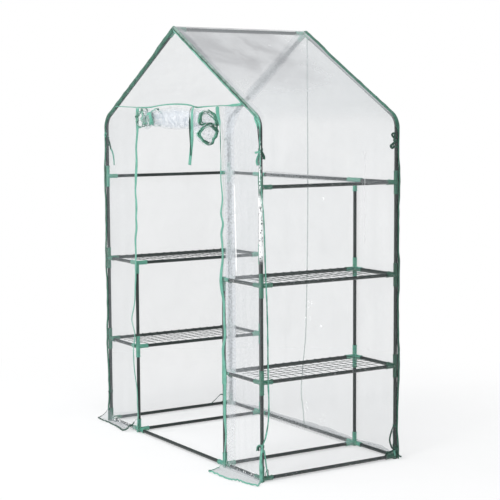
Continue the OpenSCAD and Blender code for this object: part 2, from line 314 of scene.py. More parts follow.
filmLook = {
    "haze": "#bcc2c6", "shade": "#b0b7bb",      # grey of the plasticised sheet
    "clearest": 0.025, "haziest": 0.15,         # seen square on, and at a low angle
    "roofHaze": 0.0, "roofShade": 0.0, "low": 1.0, "roughness": 0.13, "specular": 0.45,
    "creaseMm": 70, "crinkleMm": 9, "foldDepth": 0.0008, "fleckGlints": 0.0, "glint": 0.35,
    # milky streaks: (axis, middle, half width, added haze), clear where the film clings to a rail
    "milky": [],
    # pleats with a painted highlight, a white streak with a little emission: (axis, its place,
    # lean per metre of height, half width, least height, most height, strength)
    "pleatGlints": [("X", 0.523, -0.036, 0.0055, 0.86, 1.27, 1.0),
               ("Y", 0.175, 0.0, 0.0036, 0.98, 1.39, 0.5)],
    # crumpled places with painted glints, white where they would catch the light:
    # (middle, half size, noise level)
    "crumpleGlints": [((0.72, -0.37, 1.08), (0.019, 0.019, 0.16), 0.42),
                 ((0.73, -0.37, 1.34), (0.020, 0.010, 0.12), 0.44),
                 ((0.55, -0.37, 0.02), (0.15, 0.02, 0.020), 0.60),
                 ((-0.55, -0.37, 0.02), (0.15, 0.02, 0.020), 0.55),
                 ((-0.73, -0.37, 1.35), (0.03, 0.012, 0.11), 0.50),
                 ((0.72, -0.12, 0.74), (0.02, 0.022, 0.022), 0.60),
                 ((0.72, -0.13, 0.68), (0.02, 0.022, 0.012), 0.60),
                 ((0.72, -0.06, 0.645), (0.02, 0.007, 0.007), 0.50),
                 ((0.72, -0.14, 0.30), (0.02, 0.015, 0.030), 0.59),
                 ((0.72, -0.05, 0.24), (0.02, 0.022, 0.022), 0.60)],
    # clouded streaks: on which part, its two axes, from, to, half width, added haze
    "clouded": [("wall", "YZ", (-0.36, 1.307), (0.32, 1.247), 0.014, 0.46),
                ("wall", "YZ", (-0.37, 0.306), (0.13, 0.101), 0.020, 0.42),
                ("roof", "YX", (-0.34, 0.577), (0.34, 0.010), 0.034, 0.50)],
}


def bandMask(tree, value, middle, half, edge):      # 1 within half of the middle, 0 beyond
    offset = addNode(tree, "ShaderNodeMath", {"operation": "SUBTRACT", 1: middle}, {0: value})
    size = addNode(tree, "ShaderNodeMath", {"operation": "ABSOLUTE"}, {0: offset.outputs[0]})
    band = addNode(tree, "ShaderNodeMapRange",
                   {"interpolation_type": "SMOOTHSTEP", "From Min": half - edge,
                    "From Max": half, "To Min": 1.0, "To Max": 0.0}, {"Value": size.outputs[0]})
    return band.outputs["Result"]


def joined(tree, operation, values):      # a chain of maths on sockets and plain numbers
    total = values[0]
    for value in values[1:]:
        plain = isinstance(value, float)
        total = addNode(tree, "ShaderNodeMath", dict({"operation": operation},
                                                     **({"Value_001": value} if plain else {})),
                        {0: total} if plain else {0: total, 1: value}).outputs[0]
    return total


# painted glints, all in one mask: pleats, crumples, flecks and specks along the rails
def paintedGlintMask(tree, look, place, axes):      # pleats, crumples and flecks in one mask
    fine = addNode(tree, "ShaderNodeTexNoise",
                   {"Scale": 1000 / 7, "Detail": 2.0, "Roughness": 0.6, "Distortion": 0.8},
                   {"Vector": place}).outputs["Fac"]
    slow = addNode(tree, "ShaderNodeTexNoise",
                   {"Scale": 1000 / 45, "Detail": 2.0, "Roughness": 0.55},
                   {"Vector": place}).outputs["Fac"]
    glintMarks = []
    for axis, at, lean, half, low, high, strength in look["pleatGlints"]:
        height = joined(tree, "SUBTRACT", [axes["Z"], (low + high) / 2])
        leaning = joined(tree, "ADD", [joined(tree, "MULTIPLY", [height, -lean]), axes[axis]])
        uneven = addNode(
            tree, "ShaderNodeMapRange",
            {"interpolation_type": "SMOOTHSTEP", "From Min": 0.38, "From Max": 0.5,
             "To Min": 0.75 * strength, "To Max": strength}, {"Value": slow}).outputs["Result"]
        glintMarks.append(joined(tree, "MULTIPLY",
                            [bandMask(tree, leaning, at, half, half * 0.5),
                             bandMask(tree, axes["Z"], (low + high) / 2, (high - low) / 2, 0.04),
                             uneven]))
    for middle, half, level in look["crumpleGlints"]:
        bands = [bandMask(tree, axes[axis], middle[k], half[k], half[k] * 0.3)
                 for k, axis in enumerate("XYZ")]
        crumpleGlints = addNode(
            tree, "ShaderNodeMapRange",
            {"interpolation_type": "SMOOTHSTEP", "From Min": level - 0.02,
             "From Max": level + 0.04}, {"Value": fine}).outputs["Result"]
        glintMarks.append(joined(tree, "MULTIPLY", bands + [crumpleGlints]))
    # painted glints: white specks where the film touches the rails
    railGlintBand = joined(tree, "MAXIMUM", [bandMask(tree, axes["Z"], rail, 0.010, 0.004)
                                        for rail in railZ])
    speck = addNode(tree, "ShaderNodeTexNoise",
                    {"Scale": 1000 / 5, "Detail": 2.0, "Roughness": 0.6, "Distortion": 0.5},
                    {"Vector": place}).outputs["Fac"]
    railGlints = addNode(tree, "ShaderNodeMapRange",
                     {"interpolation_type": "SMOOTHSTEP", "From Min": 0.62, "From Max": 0.68,
                      "To Min": 0.0, "To Max": 0.6}, {"Value": speck}).outputs["Result"]
    glintMarks.append(joined(tree, "MULTIPLY", [railGlintBand, railGlints]))
    # painted glints: sparse white flecks
    if look["fleckGlints"]:
        cells = addNode(tree, "ShaderNodeTexVoronoi", {"Scale": 7.0, "Randomness": 1.0},
                        {"Vector": place}).outputs
        chosen = addNode(tree, "ShaderNodeSeparateXYZ", {}, {0: cells["Color"]}).outputs["X"]
        dots = addNode(
            tree, "ShaderNodeMapRange",
            {"interpolation_type": "SMOOTHSTEP", "From Min": 0.04, "From Max": 0.11, "To Min": 1.0,
             "To Max": 0.0}, {"Value": cells["Distance"]}).outputs["Result"]
        kept = addNode(
            tree, "ShaderNodeMapRange",
            {"interpolation_type": "SMOOTHSTEP", "From Min": 1 - look["fleckGlints"] - 0.01,
             "From Max": 1 - look["fleckGlints"]}, {"Value": chosen}).outputs["Result"]
        broken = addNode(
            tree, "ShaderNodeMapRange",
            {"interpolation_type": "SMOOTHSTEP", "From Min": 0.5, "From Max": 0.56},
            {"Value": fine}).outputs["Result"]
        glintMarks.append(joined(tree, "MULTIPLY", [dots, kept, broken]))
    return joined(tree, "MAXIMUM", glintMarks)


def filmMaterial(name, look):
    # Plasticised PVC film, calendered and folded for packing: a faint grey haze that thickens
    # at a low angle, soft creases, and painted glints on pleats and crumples: white marks
    # with a little emission where they would catch the light
    material, tree = newMaterial(name)
    place = addNode(tree, "ShaderNodeTexCoord").outputs["Object"]
    axes = addNode(tree, "ShaderNodeSeparateXYZ", {}, {0: place}).outputs
    facing = addNode(tree, "ShaderNodeLayerWeight", {"Blend": 0.5}).outputs["Facing"]
    cloud = addNode(tree, "ShaderNodeTexNoise",
                    {"Scale": 1000 / 240, "Detail": 4.0, "Roughness": 0.6, "Distortion": 0.6},
                    {"Vector": place}).outputs["Fac"]
    turnedAway = addNode(
        tree, "ShaderNodeMapRange",
        {"interpolation_type": "SMOOTHSTEP", "From Min": 0.12, "From Max": 0.72,
         "To Min": look["clearest"], "To Max": look["haziest"]},
        {"Value": facing}).outputs["Result"]
    patchy = addNode(tree, "ShaderNodeMapRange",
                     {"interpolation_type": "SMOOTHSTEP", "From Min": 0.3, "From Max": 0.7,
                      "To Min": 0.93, "To Max": 1.07}, {"Value": cloud}).outputs["Result"]
    # painted light: the haze thins towards the ground, so that the low film, which gets less light,
    # reads no darker
    nearGround = addNode(
        tree, "ShaderNodeMapRange",
        {"interpolation_type": "SMOOTHSTEP", "From Min": 0.0, "From Max": 0.5,
         "To Min": look["low"], "To Max": 1.0}, {"Value": axes["Z"]}).outputs["Result"]
    haze = joined(tree, "MULTIPLY", [turnedAway, patchy, nearGround])
    aboveEave = addNode(
        tree, "ShaderNodeMapRange",
        {"interpolation_type": "SMOOTHSTEP", "From Min": wallTop, "From Max": wallTop + 0.12},
        {"Value": axes["Z"]}).outputs["Result"]
    belowRidge = addNode(
        tree, "ShaderNodeMapRange",
        {"interpolation_type": "SMOOTHSTEP", "From Min": ridgeZ - 0.012, "From Max": ridgeZ,
         "To Min": 1.0, "To Max": 0.6}, {"Value": axes["Z"]}).outputs["Result"]
    onRoof = joined(tree, "MULTIPLY", [aboveEave, belowRidge])
    added = [haze, joined(tree, "MULTIPLY", [onRoof, look["roofHaze"]])]
    clings = joined(tree, "MAXIMUM", [bandMask(tree, axes["Z"], rail, 0.012, 0.004)
                                      for rail in railZ[:3]])
    clear = addNode(tree, "ShaderNodeMath", {"operation": "SUBTRACT", 0: 1.0}, {1: clings})
    speckle = addNode(tree, "ShaderNodeTexNoise",
                      {"Scale": 1000 / 9, "Detail": 2.0, "Roughness": 0.6, "Distortion": 1.0},
                      {"Vector": place}).outputs["Fac"]
    lifted = addNode(tree, "ShaderNodeMapRange",
                     {"interpolation_type": "SMOOTHSTEP", "From Min": 0.12, "From Max": 0.5,
                      "To Min": 0.35, "To Max": 1.0}, {"Value": axes["Z"]}).outputs["Result"]
    for axis, middle, half, amount in look["milky"]:
        streaks = addNode(
            tree, "ShaderNodeTexNoise", {"Scale": 1000 / 22, "Detail": 2.0, "Roughness": 0.55},
            {"Vector": addNode(tree, "ShaderNodeMapping", {"Scale": (1, 1, 0.06)},
                               {"Vector": place}).outputs[0]}).outputs["Fac"]
        streaky = addNode(
            tree, "ShaderNodeMapRange",
            {"interpolation_type": "SMOOTHSTEP", "From Min": 0.3, "From Max": 0.7,
             "To Min": 0.85 * amount, "To Max": 1.1 * amount}, {"Value": streaks}).outputs["Result"]
        speckled = addNode(
            tree, "ShaderNodeMapRange",
            {"interpolation_type": "SMOOTHSTEP", "From Min": 0.38, "From Max": 0.56, "To Min": 0.62,
             "To Max": 1.12}, {"Value": speckle}).outputs["Result"]
        added.append(joined(tree, "MULTIPLY",
                            [bandMask(tree, axes[axis], middle, half, 0.02), streaky, lifted,
                             speckled, clear.outputs[0]]))
    shading = addNode(tree, "ShaderNodeTexNoise",
                      {"Scale": 1000 / 90, "Detail": 3.0, "Roughness": 0.55},
                      {"Vector": place}).outputs["Fac"]
    colour = addNode(tree, "ShaderNodeMix",
                     {"data_type": "RGBA", "A_Color": paint(look["haze"]),
                      "B_Color": paint(look["shade"])}, {"Factor_Float": shading}).outputs[2]
    if look["roofShade"]:      # painted shade: darker and hazier high on the roof, near the front
        high = addNode(
            tree, "ShaderNodeMapRange",
            {"interpolation_type": "SMOOTHSTEP", "From Min": 1.6, "From Max": 1.8},
            {"Value": axes["Z"]}).outputs["Result"]
        inFront = addNode(
            tree, "ShaderNodeMapRange",
            {"interpolation_type": "SMOOTHSTEP", "From Min": 0.3, "From Max": 0.02},
            {"Value": axes["Y"]}).outputs["Result"]
        settled = addNode(
            tree, "ShaderNodeMapRange",
            {"interpolation_type": "SMOOTHSTEP", "From Min": 0.36, "From Max": 0.62, "To Min": 0.55,
             "To Max": 1.0}, {"Value": cloud}).outputs["Result"]
        roofShadeMask = joined(tree, "MULTIPLY", [high, inFront, settled])
        fromMiddle = addNode(tree, "ShaderNodeMath", {"operation": "ABSOLUTE"}, {0: axes["Y"]})
        nearEnds = addNode(
            tree, "ShaderNodeMapRange",
            {"interpolation_type": "SMOOTHSTEP", "From Min": 0.325, "From Max": 0.345},
            {"Value": fromMiddle.outputs[0]}).outputs["Result"]
        edge = joined(tree, "MULTIPLY", [onRoof, nearEnds])
        added += [joined(tree, "MULTIPLY", [roofShadeMask, look["roofShade"]]),
                  joined(tree, "MULTIPLY", [edge, 0.38])]
        colour = addNode(tree, "ShaderNodeMix", {"data_type": "RGBA",
                                                 "B_Color": paint("#8f9092")},
                         {"Factor_Float": roofShadeMask, "A_Color": colour}).outputs[2]
    for part, (along, side), (a0, b0), (a1, b1), half, amount in look["clouded"]:
        lean = (b1 - b0) / (a1 - a0)
        across = joined(tree, "ADD", [joined(tree, "MULTIPLY", [axes[along], -lean]),
                                      axes[side]])
        fading = addNode(
            tree, "ShaderNodeMapRange",
            {"interpolation_type": "SMOOTHSTEP", "From Min": a1, "From Max": a0, "To Min": 0.45,
             "To Max": 1.0}, {"Value": axes[along]}).outputs["Result"]
        grainy = addNode(
            tree, "ShaderNodeMapRange",
            {"interpolation_type": "SMOOTHSTEP", "From Min": 0.4, "From Max": 0.6,
             "To Min": 0.6 * amount, "To Max": 1.2 * amount}, {"Value": speckle}).outputs["Result"]
        streak = [bandMask(tree, across, b0 - lean * a0, half, half * 0.4),
                  bandMask(tree, axes[along], (a0 + a1) / 2, abs(a1 - a0) / 2, 0.03), fading,
                  grainy]
        if part == "wall":
            onWall = addNode(
                tree, "ShaderNodeMapRange",
                {"interpolation_type": "SMOOTHSTEP", "From Min": 0.7, "From Max": 0.705},
                {"Value": axes["X"]}).outputs["Result"]
            streak.append(onWall)
        elif part == "roof":
            streak.append(onRoof)
        added.append(joined(tree, "MULTIPLY", streak))
    # painted glints: where the mask is set the film turns white and more solid, and glows a little
    glintMarks = paintedGlintMask(tree, look, place, axes)
    alpha = addNode(tree, "ShaderNodeMath", {"operation": "MAXIMUM", "use_clamp": True},
                    {0: joined(tree, "ADD", added), 1: joined(tree, "MULTIPLY", [glintMarks, 0.95])})
    colour = addNode(tree, "ShaderNodeMix", {"data_type": "RGBA", "B_Color": paint("#ffffff")},
                     {"Factor_Float": glintMarks, "A_Color": colour}).outputs[2]
    crease = addNode(tree, "ShaderNodeTexNoise",
                     {"Scale": 1000 / look["creaseMm"], "Detail": 2.0, "Roughness": 0.5,
                      "Distortion": 1.2}, {"Vector": place})
    crinkle = addNode(tree, "ShaderNodeTexNoise",
                      {"Scale": 1000 / look["crinkleMm"], "Detail": 2.0, "Roughness": 0.5,
                       "Distortion": 0.8}, {"Vector": place})
    fold = addNode(tree, "ShaderNodeBump", {"Strength": 1.0, "Distance": look["foldDepth"]},
                   {"Height": crease.outputs["Fac"]})
    small = addNode(tree, "ShaderNodeBump", {"Strength": 0.12, "Distance": 0.0010},
                    {"Height": crinkle.outputs["Fac"], "Normal": fold.outputs["Normal"]})
    # the painted glints glow a little
    glint = joined(tree, "MULTIPLY", [glintMarks, look["glint"]])
    shader = addNode(tree, "ShaderNodeBsdfPrincipled",
                     {"Roughness": look["roughness"], "IOR": 1.53,
                      "Specular IOR Level": look["specular"],
                      "Emission Color": (1, 1, 1, 1)},
                     {"Base Color": colour, "Alpha": alpha.outputs[0],
                      "Emission Strength": glint, "Normal": small.outputs["Normal"]})
    closeMaterial(tree, shader.outputs[0])
    return material


clearFilm = filmMaterial("clearPvcFilm", dict(filmLook, clouded=[]))
bunchedFilm = filmMaterial("clearPvcFilmBunched", dict(
    filmLook, clouded=[("panel", "XZ", (-0.39, 0.088), (-0.70, 0.030), 0.022, 0.15)]))
panelFilm = filmMaterial("clearPvcFilmMilky", dict(
    filmLook, haze="#cfd3d7", shade="#c4c8cc",
    clouded=[("panel", "ZX", (1.62, 0.582), (1.44, 0.456), 0.030, 0.62)],
    milky=[("X", 0.555, 0.155, 0.17), ("X", 0.482, 0.046, 0.54)]))
roofFilm = filmMaterial("clearPvcFilmDusty", dict(filmLook, haze="#c4c7c9", shade="#b8bbbd",
                                                  roofHaze=0.28, roofShade=0.27, fleckGlints=0.22,
                                                  crinkleMm=26))
sideFilm = filmMaterial("clearPvcFilmHazy", dict(filmLook, clearest=0.26, haziest=0.36, low=0.7,
                                                 roofHaze=-0.12, pleatGlints=[], crumpleGlints=[],
                                                 clouded=[]))
rearFilm = filmMaterial("clearPvcFilmRear", dict(filmLook, clearest=0.24, haziest=0.34, low=0.6,
                                                 pleatGlints=[], crumpleGlints=[], clouded=[],
                                                 fleckGlints=0.30))

rollFilmLook = {"ridgeHighlight": "#ffffff", "hollowShade": "#ccd5df", "thin": 0.03, "thick": 0.14,
                "roughness": 0.10, "crumpleMm": 46}


def rolledFilmMaterial(look):
    # The same film wound up: many thin layers that read cool white, with crumples whose ridges
    # have a painted white highlight and whose hollows a painted blue grey shade
    material, tree = newMaterial("rolledPvcFilm")
    place = addNode(tree, "ShaderNodeTexCoord").outputs["Object"]
    crumple = addNode(tree, "ShaderNodeTexNoise",
                      {"Scale": 1000 / look["crumpleMm"], "Detail": 2.0, "Roughness": 0.5,
                       "Distortion": 1.6}, {"Vector": place}).outputs["Fac"]
    paintedRidgeHighlight = bandMask(tree, crumple, 0.53, 0.030, 0.028)
    paintedHollowShade = addNode(tree, "ShaderNodeMapRange",
                     {"interpolation_type": "SMOOTHSTEP", "From Min": 0.5, "From Max": 0.3},
                     {"Value": crumple}).outputs["Result"]
    colour = addNode(tree, "ShaderNodeMix",
                     {"data_type": "RGBA", "A_Color": paint("#e9eef4"),
                      "B_Color": paint(look["hollowShade"])}, {"Factor_Float": paintedHollowShade}).outputs[2]
    colour = addNode(tree, "ShaderNodeMix",
                     {"data_type": "RGBA", "B_Color": paint(look["ridgeHighlight"])},
                     {"Factor_Float": paintedRidgeHighlight, "A_Color": colour}).outputs[2]
    facing = addNode(tree, "ShaderNodeLayerWeight", {"Blend": 0.5}).outputs["Facing"]
    layered = addNode(
        tree, "ShaderNodeMapRange",
        {"interpolation_type": "SMOOTHSTEP", "From Min": 0.1, "From Max": 0.9,
         "To Min": look["thin"], "To Max": look["thick"]}, {"Value": facing}).outputs["Result"]
    alpha = joined(tree, "ADD",
                   [layered, joined(tree, "MULTIPLY", [paintedRidgeHighlight, 0.3]),
                    joined(tree, "MULTIPLY", [paintedHollowShade, 0.05])])
    bump = addNode(tree, "ShaderNodeBump", {"Strength": 1.0, "Distance": 0.005},
                   {"Height": crumple})
    shader = addNode(tree, "ShaderNodeBsdfPrincipled", {"Roughness": look["roughness"],
                                                        "IOR": 1.53},
                     {"Base Color": colour, "Alpha": alpha, "Normal": bump.outputs["Normal"]})
    closeMaterial(tree, shader.outputs[0])
    return material


rolledFilm = rolledFilmMaterial(rollFilmLook)

tubeLook = {"coat": "#1b2422", "wornCoat": "#2a3834", "roughness": 0.3}


def tubeMaterial(name, look, grainMm):
    # Powder coated steel tube: near-black green, even and half gloss, with the faint orange
    # peel of the coat and paler rubbed patches
    material, tree = newMaterial(name)
    place = addNode(tree, "ShaderNodeTexCoord").outputs["Object"]
    rubbed = addNode(tree, "ShaderNodeTexNoise",
                     {"Scale": 1000 / 70, "Detail": 5.0, "Roughness": 0.65, "Distortion": 0.4},
                     {"Vector": place})
    spread = addNode(tree, "ShaderNodeMapRange", {"From Min": 0.42, "From Max": 0.72},
                     {"Value": rubbed.outputs["Fac"]})
    colour = addNode(tree, "ShaderNodeMix",
                     {"data_type": "RGBA", "A_Color": paint(look["coat"]),
                      "B_Color": paint(look["wornCoat"])},
                     {"Factor_Float": spread.outputs["Result"]})
    gloss = addNode(tree, "ShaderNodeMapRange",
                    {"To Min": look["roughness"] - 0.05, "To Max": look["roughness"] + 0.12},
                    {"Value": rubbed.outputs["Fac"]})
    orangePeel = addNode(tree, "ShaderNodeTexNoise",
                         {"Scale": 1000 / grainMm, "Detail": 2.0, "Roughness": 0.55},
                         {"Vector": place}).outputs["Fac"]
    peel = addNode(tree, "ShaderNodeBump", {"Strength": 0.18, "Distance": 0.0004},
                   {"Height": orangePeel})
    shader = addNode(tree, "ShaderNodeBsdfPrincipled", {"IOR": 1.5, "Coat Weight": 0.25,
                                                        "Coat Roughness": 0.15},
                     {"Base Color": colour.outputs[2], "Roughness": gloss.outputs["Result"],
                      "Normal": peel.outputs["Normal"]})
    closeMaterial(tree, shader.outputs[0])
    return material


coatedTube = tubeMaterial("powderCoatedSteelTube", tubeLook, 2.2)
dippedWire = tubeMaterial("plasticDippedWire",
                          {"coat": "#202a27", "wornCoat": "#303e39", "roughness": 0.34}, 1.2)

plasticLook = {"deep": "#4d8e78", "pale": "#72b5a0", "roughness": 0.36}


def plasticMaterial(name, look):
    # Injection moulded polyethylene: waxy mint green that lets a little light in, with slow
    # flow marks and a fine spark-eroded grain from the mould
    material, tree = newMaterial(name)
    place = addNode(tree, "ShaderNodeTexCoord").outputs["Object"]
    flow = addNode(tree, "ShaderNodeTexNoise",
                   {"Scale": 1000 / 26, "Detail": 3.0, "Roughness": 0.5, "Distortion": 1.5},
                   {"Vector": place})
    colour = addNode(tree, "ShaderNodeMix",
                     {"data_type": "RGBA", "A_Color": paint(look["deep"]),
                      "B_Color": paint(look["pale"])}, {"Factor_Float": flow.outputs["Fac"]})
    # painted shade: at the right-hand corners, behind the doubled film and tape, the plastic is
    # darkened to a near black-green
    axes = addNode(tree, "ShaderNodeSeparateXYZ", {}, {0: place}).outputs
    rightHand = addNode(
        tree, "ShaderNodeMapRange",
        {"interpolation_type": "SMOOTHSTEP", "From Min": 0.58, "From Max": 0.64},
        {"Value": axes["X"]}).outputs["Result"]
    atRear = addNode(tree, "ShaderNodeMapRange",
                     {"interpolation_type": "SMOOTHSTEP", "From Min": 0.22, "From Max": 0.28},
                     {"Value": axes["Y"]}).outputs["Result"]
    highUp = addNode(tree, "ShaderNodeMapRange",
                     {"interpolation_type": "SMOOTHSTEP", "From Min": 1.15, "From Max": 1.18},
                     {"Value": axes["Z"]}).outputs["Result"]
    rightCornerShade = joined(tree, "MULTIPLY", [rightHand, joined(tree, "MAXIMUM", [atRear, highUp])])
    colour = addNode(tree, "ShaderNodeMix", {"data_type": "RGBA", "blend_type": "MULTIPLY",
                                             "B_Color": paint("#a8b4ae")},
                     {"Factor_Float": rightCornerShade, "A_Color": colour.outputs[2]})
    sparkGrain = addNode(tree, "ShaderNodeTexNoise",
                         {"Scale": 1000 / 1.1, "Detail": 2.0, "Roughness": 0.55},
                         {"Vector": place}).outputs["Fac"]
    grain = addNode(tree, "ShaderNodeBump", {"Strength": 0.2, "Distance": 0.0003},
                    {"Height": sparkGrain})
    gloss = addNode(tree, "ShaderNodeMapRange",
                    {"To Min": look["roughness"] - 0.06, "To Max": look["roughness"] + 0.1},
                    {"Value": flow.outputs["Fac"]})
    shader = addNode(tree, "ShaderNodeBsdfPrincipled",
                     {"IOR": 1.51, "Subsurface Weight": 0.25, "Subsurface Scale": 0.004},
                     {"Base Color": colour.outputs[2], "Roughness": gloss.outputs["Result"],
                      "Normal": grain.outputs["Normal"]})
    closeMaterial(tree, shader.outputs[0])
    return material


mouldedPlastic = plasticMaterial("mouldedPolyethylene", plasticLook)
shadedPlastic = plasticMaterial("mouldedPolyethyleneShaded", dict(plasticLook, deep="#376a58",
                                                              pale="#528c77"))

tapeLook = {"light": "#84ccb6", "dark": "#539c86", "ribMm": 1.6}


def tapeMaterial(name, look, seeThrough):
    # Woven polyester tape: mint green with a cross rib, matt with a soft sheen, and thin
    # enough that what lies behind darkens it. The real rib is 0.6 mm; it is drawn coarser
    # so that it shows
    material, tree = newMaterial(name)
    sewn = addNode(tree, "ShaderNodeTexCoord").outputs["UV"]
    place = addNode(tree, "ShaderNodeTexCoord").outputs["Object"]
    ribs = addNode(tree, "ShaderNodeTexWave",
                   {"bands_direction": "Y", "Scale": 1000 / look["ribMm"] / 6.28,
                    "Distortion": 0.6, "Detail": 1.0}, {"Vector": sewn})
    blotch = addNode(tree, "ShaderNodeTexNoise",
                     {"Scale": 1000 / 34, "Detail": 3.0, "Roughness": 0.6}, {"Vector": place})
    mixing = addNode(tree, "ShaderNodeMath", {"operation": "MULTIPLY_ADD", 1: 0.35},
                     {0: ribs.outputs["Fac"], 2: blotch.outputs["Fac"]})
    toneIn = addNode(tree, "ShaderNodeMapRange", {"From Min": 0.35, "From Max": 1.0},
                     {"Value": mixing.outputs[0]})
    colour = addNode(tree, "ShaderNodeMix",
                     {"data_type": "RGBA", "A_Color": paint(look["dark"]),
                      "B_Color": paint(look["light"])},
                     {"Factor_Float": toneIn.outputs["Result"]})
    relief = addNode(tree, "ShaderNodeBump", {"Strength": 0.5, "Distance": 0.0004},
                     {"Height": ribs.outputs["Fac"]})
    shader = addNode(tree, "ShaderNodeBsdfPrincipled",
                     {"Roughness": 0.62, "Sheen Weight": 0.25, "Sheen Roughness": 0.4,
                      "Alpha": seeThrough},
                     {"Base Color": colour.outputs[2], "Normal": relief.outputs["Normal"]})
    closeMaterial(tree, shader.outputs[0])
    return material


mintTape = tapeMaterial("wovenPolyesterTape", tapeLook, 0.93)
# painted shade: a darker copy of the mint tape, for the parts of ties, straps and hems in shade
shadedTape = tapeMaterial("wovenTapeShaded", {"light": "#2e5f4e", "dark": "#183b2f", "ribMm": 1.6},
                        1.0)
hemTape = tapeMaterial("wovenHemTape", {"light": "#8cd8bb", "dark": "#123d30", "ribMm": 1.6}, 0.95)
seamTape = tapeMaterial("wovenSeamTape", {"light": "#8fb8a8", "dark": "#6f9a8a", "ribMm": 1.6},
                        0.32)

bindingTones = {
    # far: the darker tone of every binding but the front right one, painted shade
    "front": ("#86cfba", 0.92), "far": ("#427a67", 0.84),
    # across the right slope of the front arch, from the fold inwards: (m, colour, cover)
    "across": [(0.0, "#a9bfb6", 0.50), (0.0062, "#a9bfb6", 0.45), (0.0070, "#356a55", 0.70),
               (0.0120, "#356a55", 0.70), (0.0130, "#8fd2be", 0.90), (0.0200, "#8fd2be", 0.90)],
}


def bindingMaterial(tones):
    # Woven polyester binding in a single thin layer: the tube and the film behind show
    # through it, and its turned-in edge is double, so that it is brighter
    material, tree = newMaterial("wovenBindingTape")
    place = addNode(tree, "ShaderNodeTexCoord").outputs["Object"]
    axes = addNode(tree, "ShaderNodeSeparateXYZ", {}, {0: place}).outputs
    height = addNode(tree, "ShaderNodeVectorMath",
                     {"operation": "DOT_PRODUCT", 1: (math.sin(slope), 0, math.cos(slope))},
                     {0: place}).outputs["Value"]
    fold, perMetre = ridgeZ * math.cos(slope) + filmOut, 50
    share = addNode(tree, "ShaderNodeMath",      # of 20 mm, from the fold inwards
                    {"operation": "MULTIPLY_ADD", 1: -perMetre, 2: perMetre * fold}, {0: height})
    ramp = addNode(tree, "ShaderNodeValToRGB", {}, {0: share.outputs[0]})
    stops = ramp.color_ramp.elements
    for k, (at, code, cover) in enumerate(tones["across"]):
        stop = stops[k] if k < 2 else stops.new(at * perMetre)
        stop.position = at * perMetre
        stop.color = paint(code)[:3] + [cover]
    rightSide = addNode(
        tree, "ShaderNodeMapRange",
        {"interpolation_type": "SMOOTHSTEP", "From Min": 0.0, "From Max": 0.01},
        {"Value": axes["X"]}).outputs["Result"]
    facingFront = addNode(
        tree, "ShaderNodeMapRange",
        {"interpolation_type": "SMOOTHSTEP", "From Min": 0.1, "From Max": -0.1},
        {"Value": axes["Y"]}).outputs["Result"]
    isFront = joined(tree, "MULTIPLY", [rightSide, facingFront])
    overEave = addNode(
        tree, "ShaderNodeMapRange",
        {"interpolation_type": "SMOOTHSTEP", "From Min": wallTop + 0.02, "From Max": wallTop + 0.1},
        {"Value": axes["Z"]}).outputs["Result"]
    isSlope = joined(tree, "MULTIPLY", [isFront, overEave])
    # painted shade: bindings away from the front right corner take the darker far tone
    colour = addNode(tree, "ShaderNodeMix",
                     {"data_type": "RGBA", "A_Color": paint(tones["far"][0]),
                      "B_Color": paint(tones["front"][0])}, {"Factor_Float": isFront}).outputs[2]
    colour = addNode(tree, "ShaderNodeMix", {"data_type": "RGBA"},
                     {"Factor_Float": isSlope, "A_Color": colour,
                      "B_Color": ramp.outputs["Color"]}).outputs[2]
    worn = addNode(tree, "ShaderNodeTexNoise",
                   {"Scale": 1000 / 30, "Detail": 3.0, "Roughness": 0.6},
                   {"Vector": place}).outputs["Fac"]
    rubbed = addNode(tree, "ShaderNodeMapRange",
                     {"interpolation_type": "SMOOTHSTEP", "From Min": 0.35, "From Max": 0.65},
                     {"Value": worn}).outputs["Result"]
    colour = addNode(tree, "ShaderNodeMix",
                     {"data_type": "RGBA", "blend_type": "MULTIPLY", "B_Color": paint("#b9c9c2")},
                     {"Factor_Float": rubbed, "A_Color": colour}).outputs[2]
    cover = addNode(tree, "ShaderNodeMapRange",
                    {"interpolation_type": "SMOOTHSTEP", "From Min": 0.0, "From Max": 1.0,
                     "To Min": tones["far"][1], "To Max": tones["front"][1]},
                    {"Value": isFront}).outputs["Result"]
    cover = addNode(tree, "ShaderNodeMix", {}, {"Factor_Float": isSlope, "A_Float": cover,
                                                "B_Float": ramp.outputs["Alpha"]}).outputs[0]
    sewn = addNode(tree, "ShaderNodeTexCoord").outputs["UV"]
    ribs = addNode(tree, "ShaderNodeTexWave", {"bands_direction": "Y", "Scale": 100.0,
                                               "Distortion": 0.6, "Detail": 1.0}, {"Vector": sewn})
    relief = addNode(tree, "ShaderNodeBump", {"Strength": 0.5, "Distance": 0.0004},
                     {"Height": ribs.outputs["Fac"]})
    shader = addNode(tree, "ShaderNodeBsdfPrincipled",
                     {"Roughness": 0.62, "Sheen Weight": 0.25, "Sheen Roughness": 0.4},
                     {"Base Color": colour, "Alpha": cover, "Normal": relief.outputs["Normal"]})
    closeMaterial(tree, shader.outputs[0])
    return material


thinTape = bindingMaterial(bindingTones)


def threadMaterial():
    # Spun polyester thread: dark green, matt, with its twist as a fine slanting shade
    material, tree = newMaterial("spunPolyesterThread")
    place = addNode(tree, "ShaderNodeTexCoord").outputs["Object"]
    twist = addNode(tree, "ShaderNodeTexWave",
                    {"bands_direction": "DIAGONAL", "Scale": 160.0, "Distortion": 2.0},
                    {"Vector": place})
    colour = addNode(tree, "ShaderNodeMix",
                     {"data_type": "RGBA", "A_Color": paint("#2f6a55"),
                      "B_Color": paint("#4d957a")}, {"Factor_Float": twist.outputs["Fac"]})
    shader = addNode(tree, "ShaderNodeBsdfPrincipled", {"Roughness": 0.7, "Sheen Weight": 0.2},
                     {"Base Color": colour.outputs[2]})
    closeMaterial(tree, shader.outputs[0])
    return material


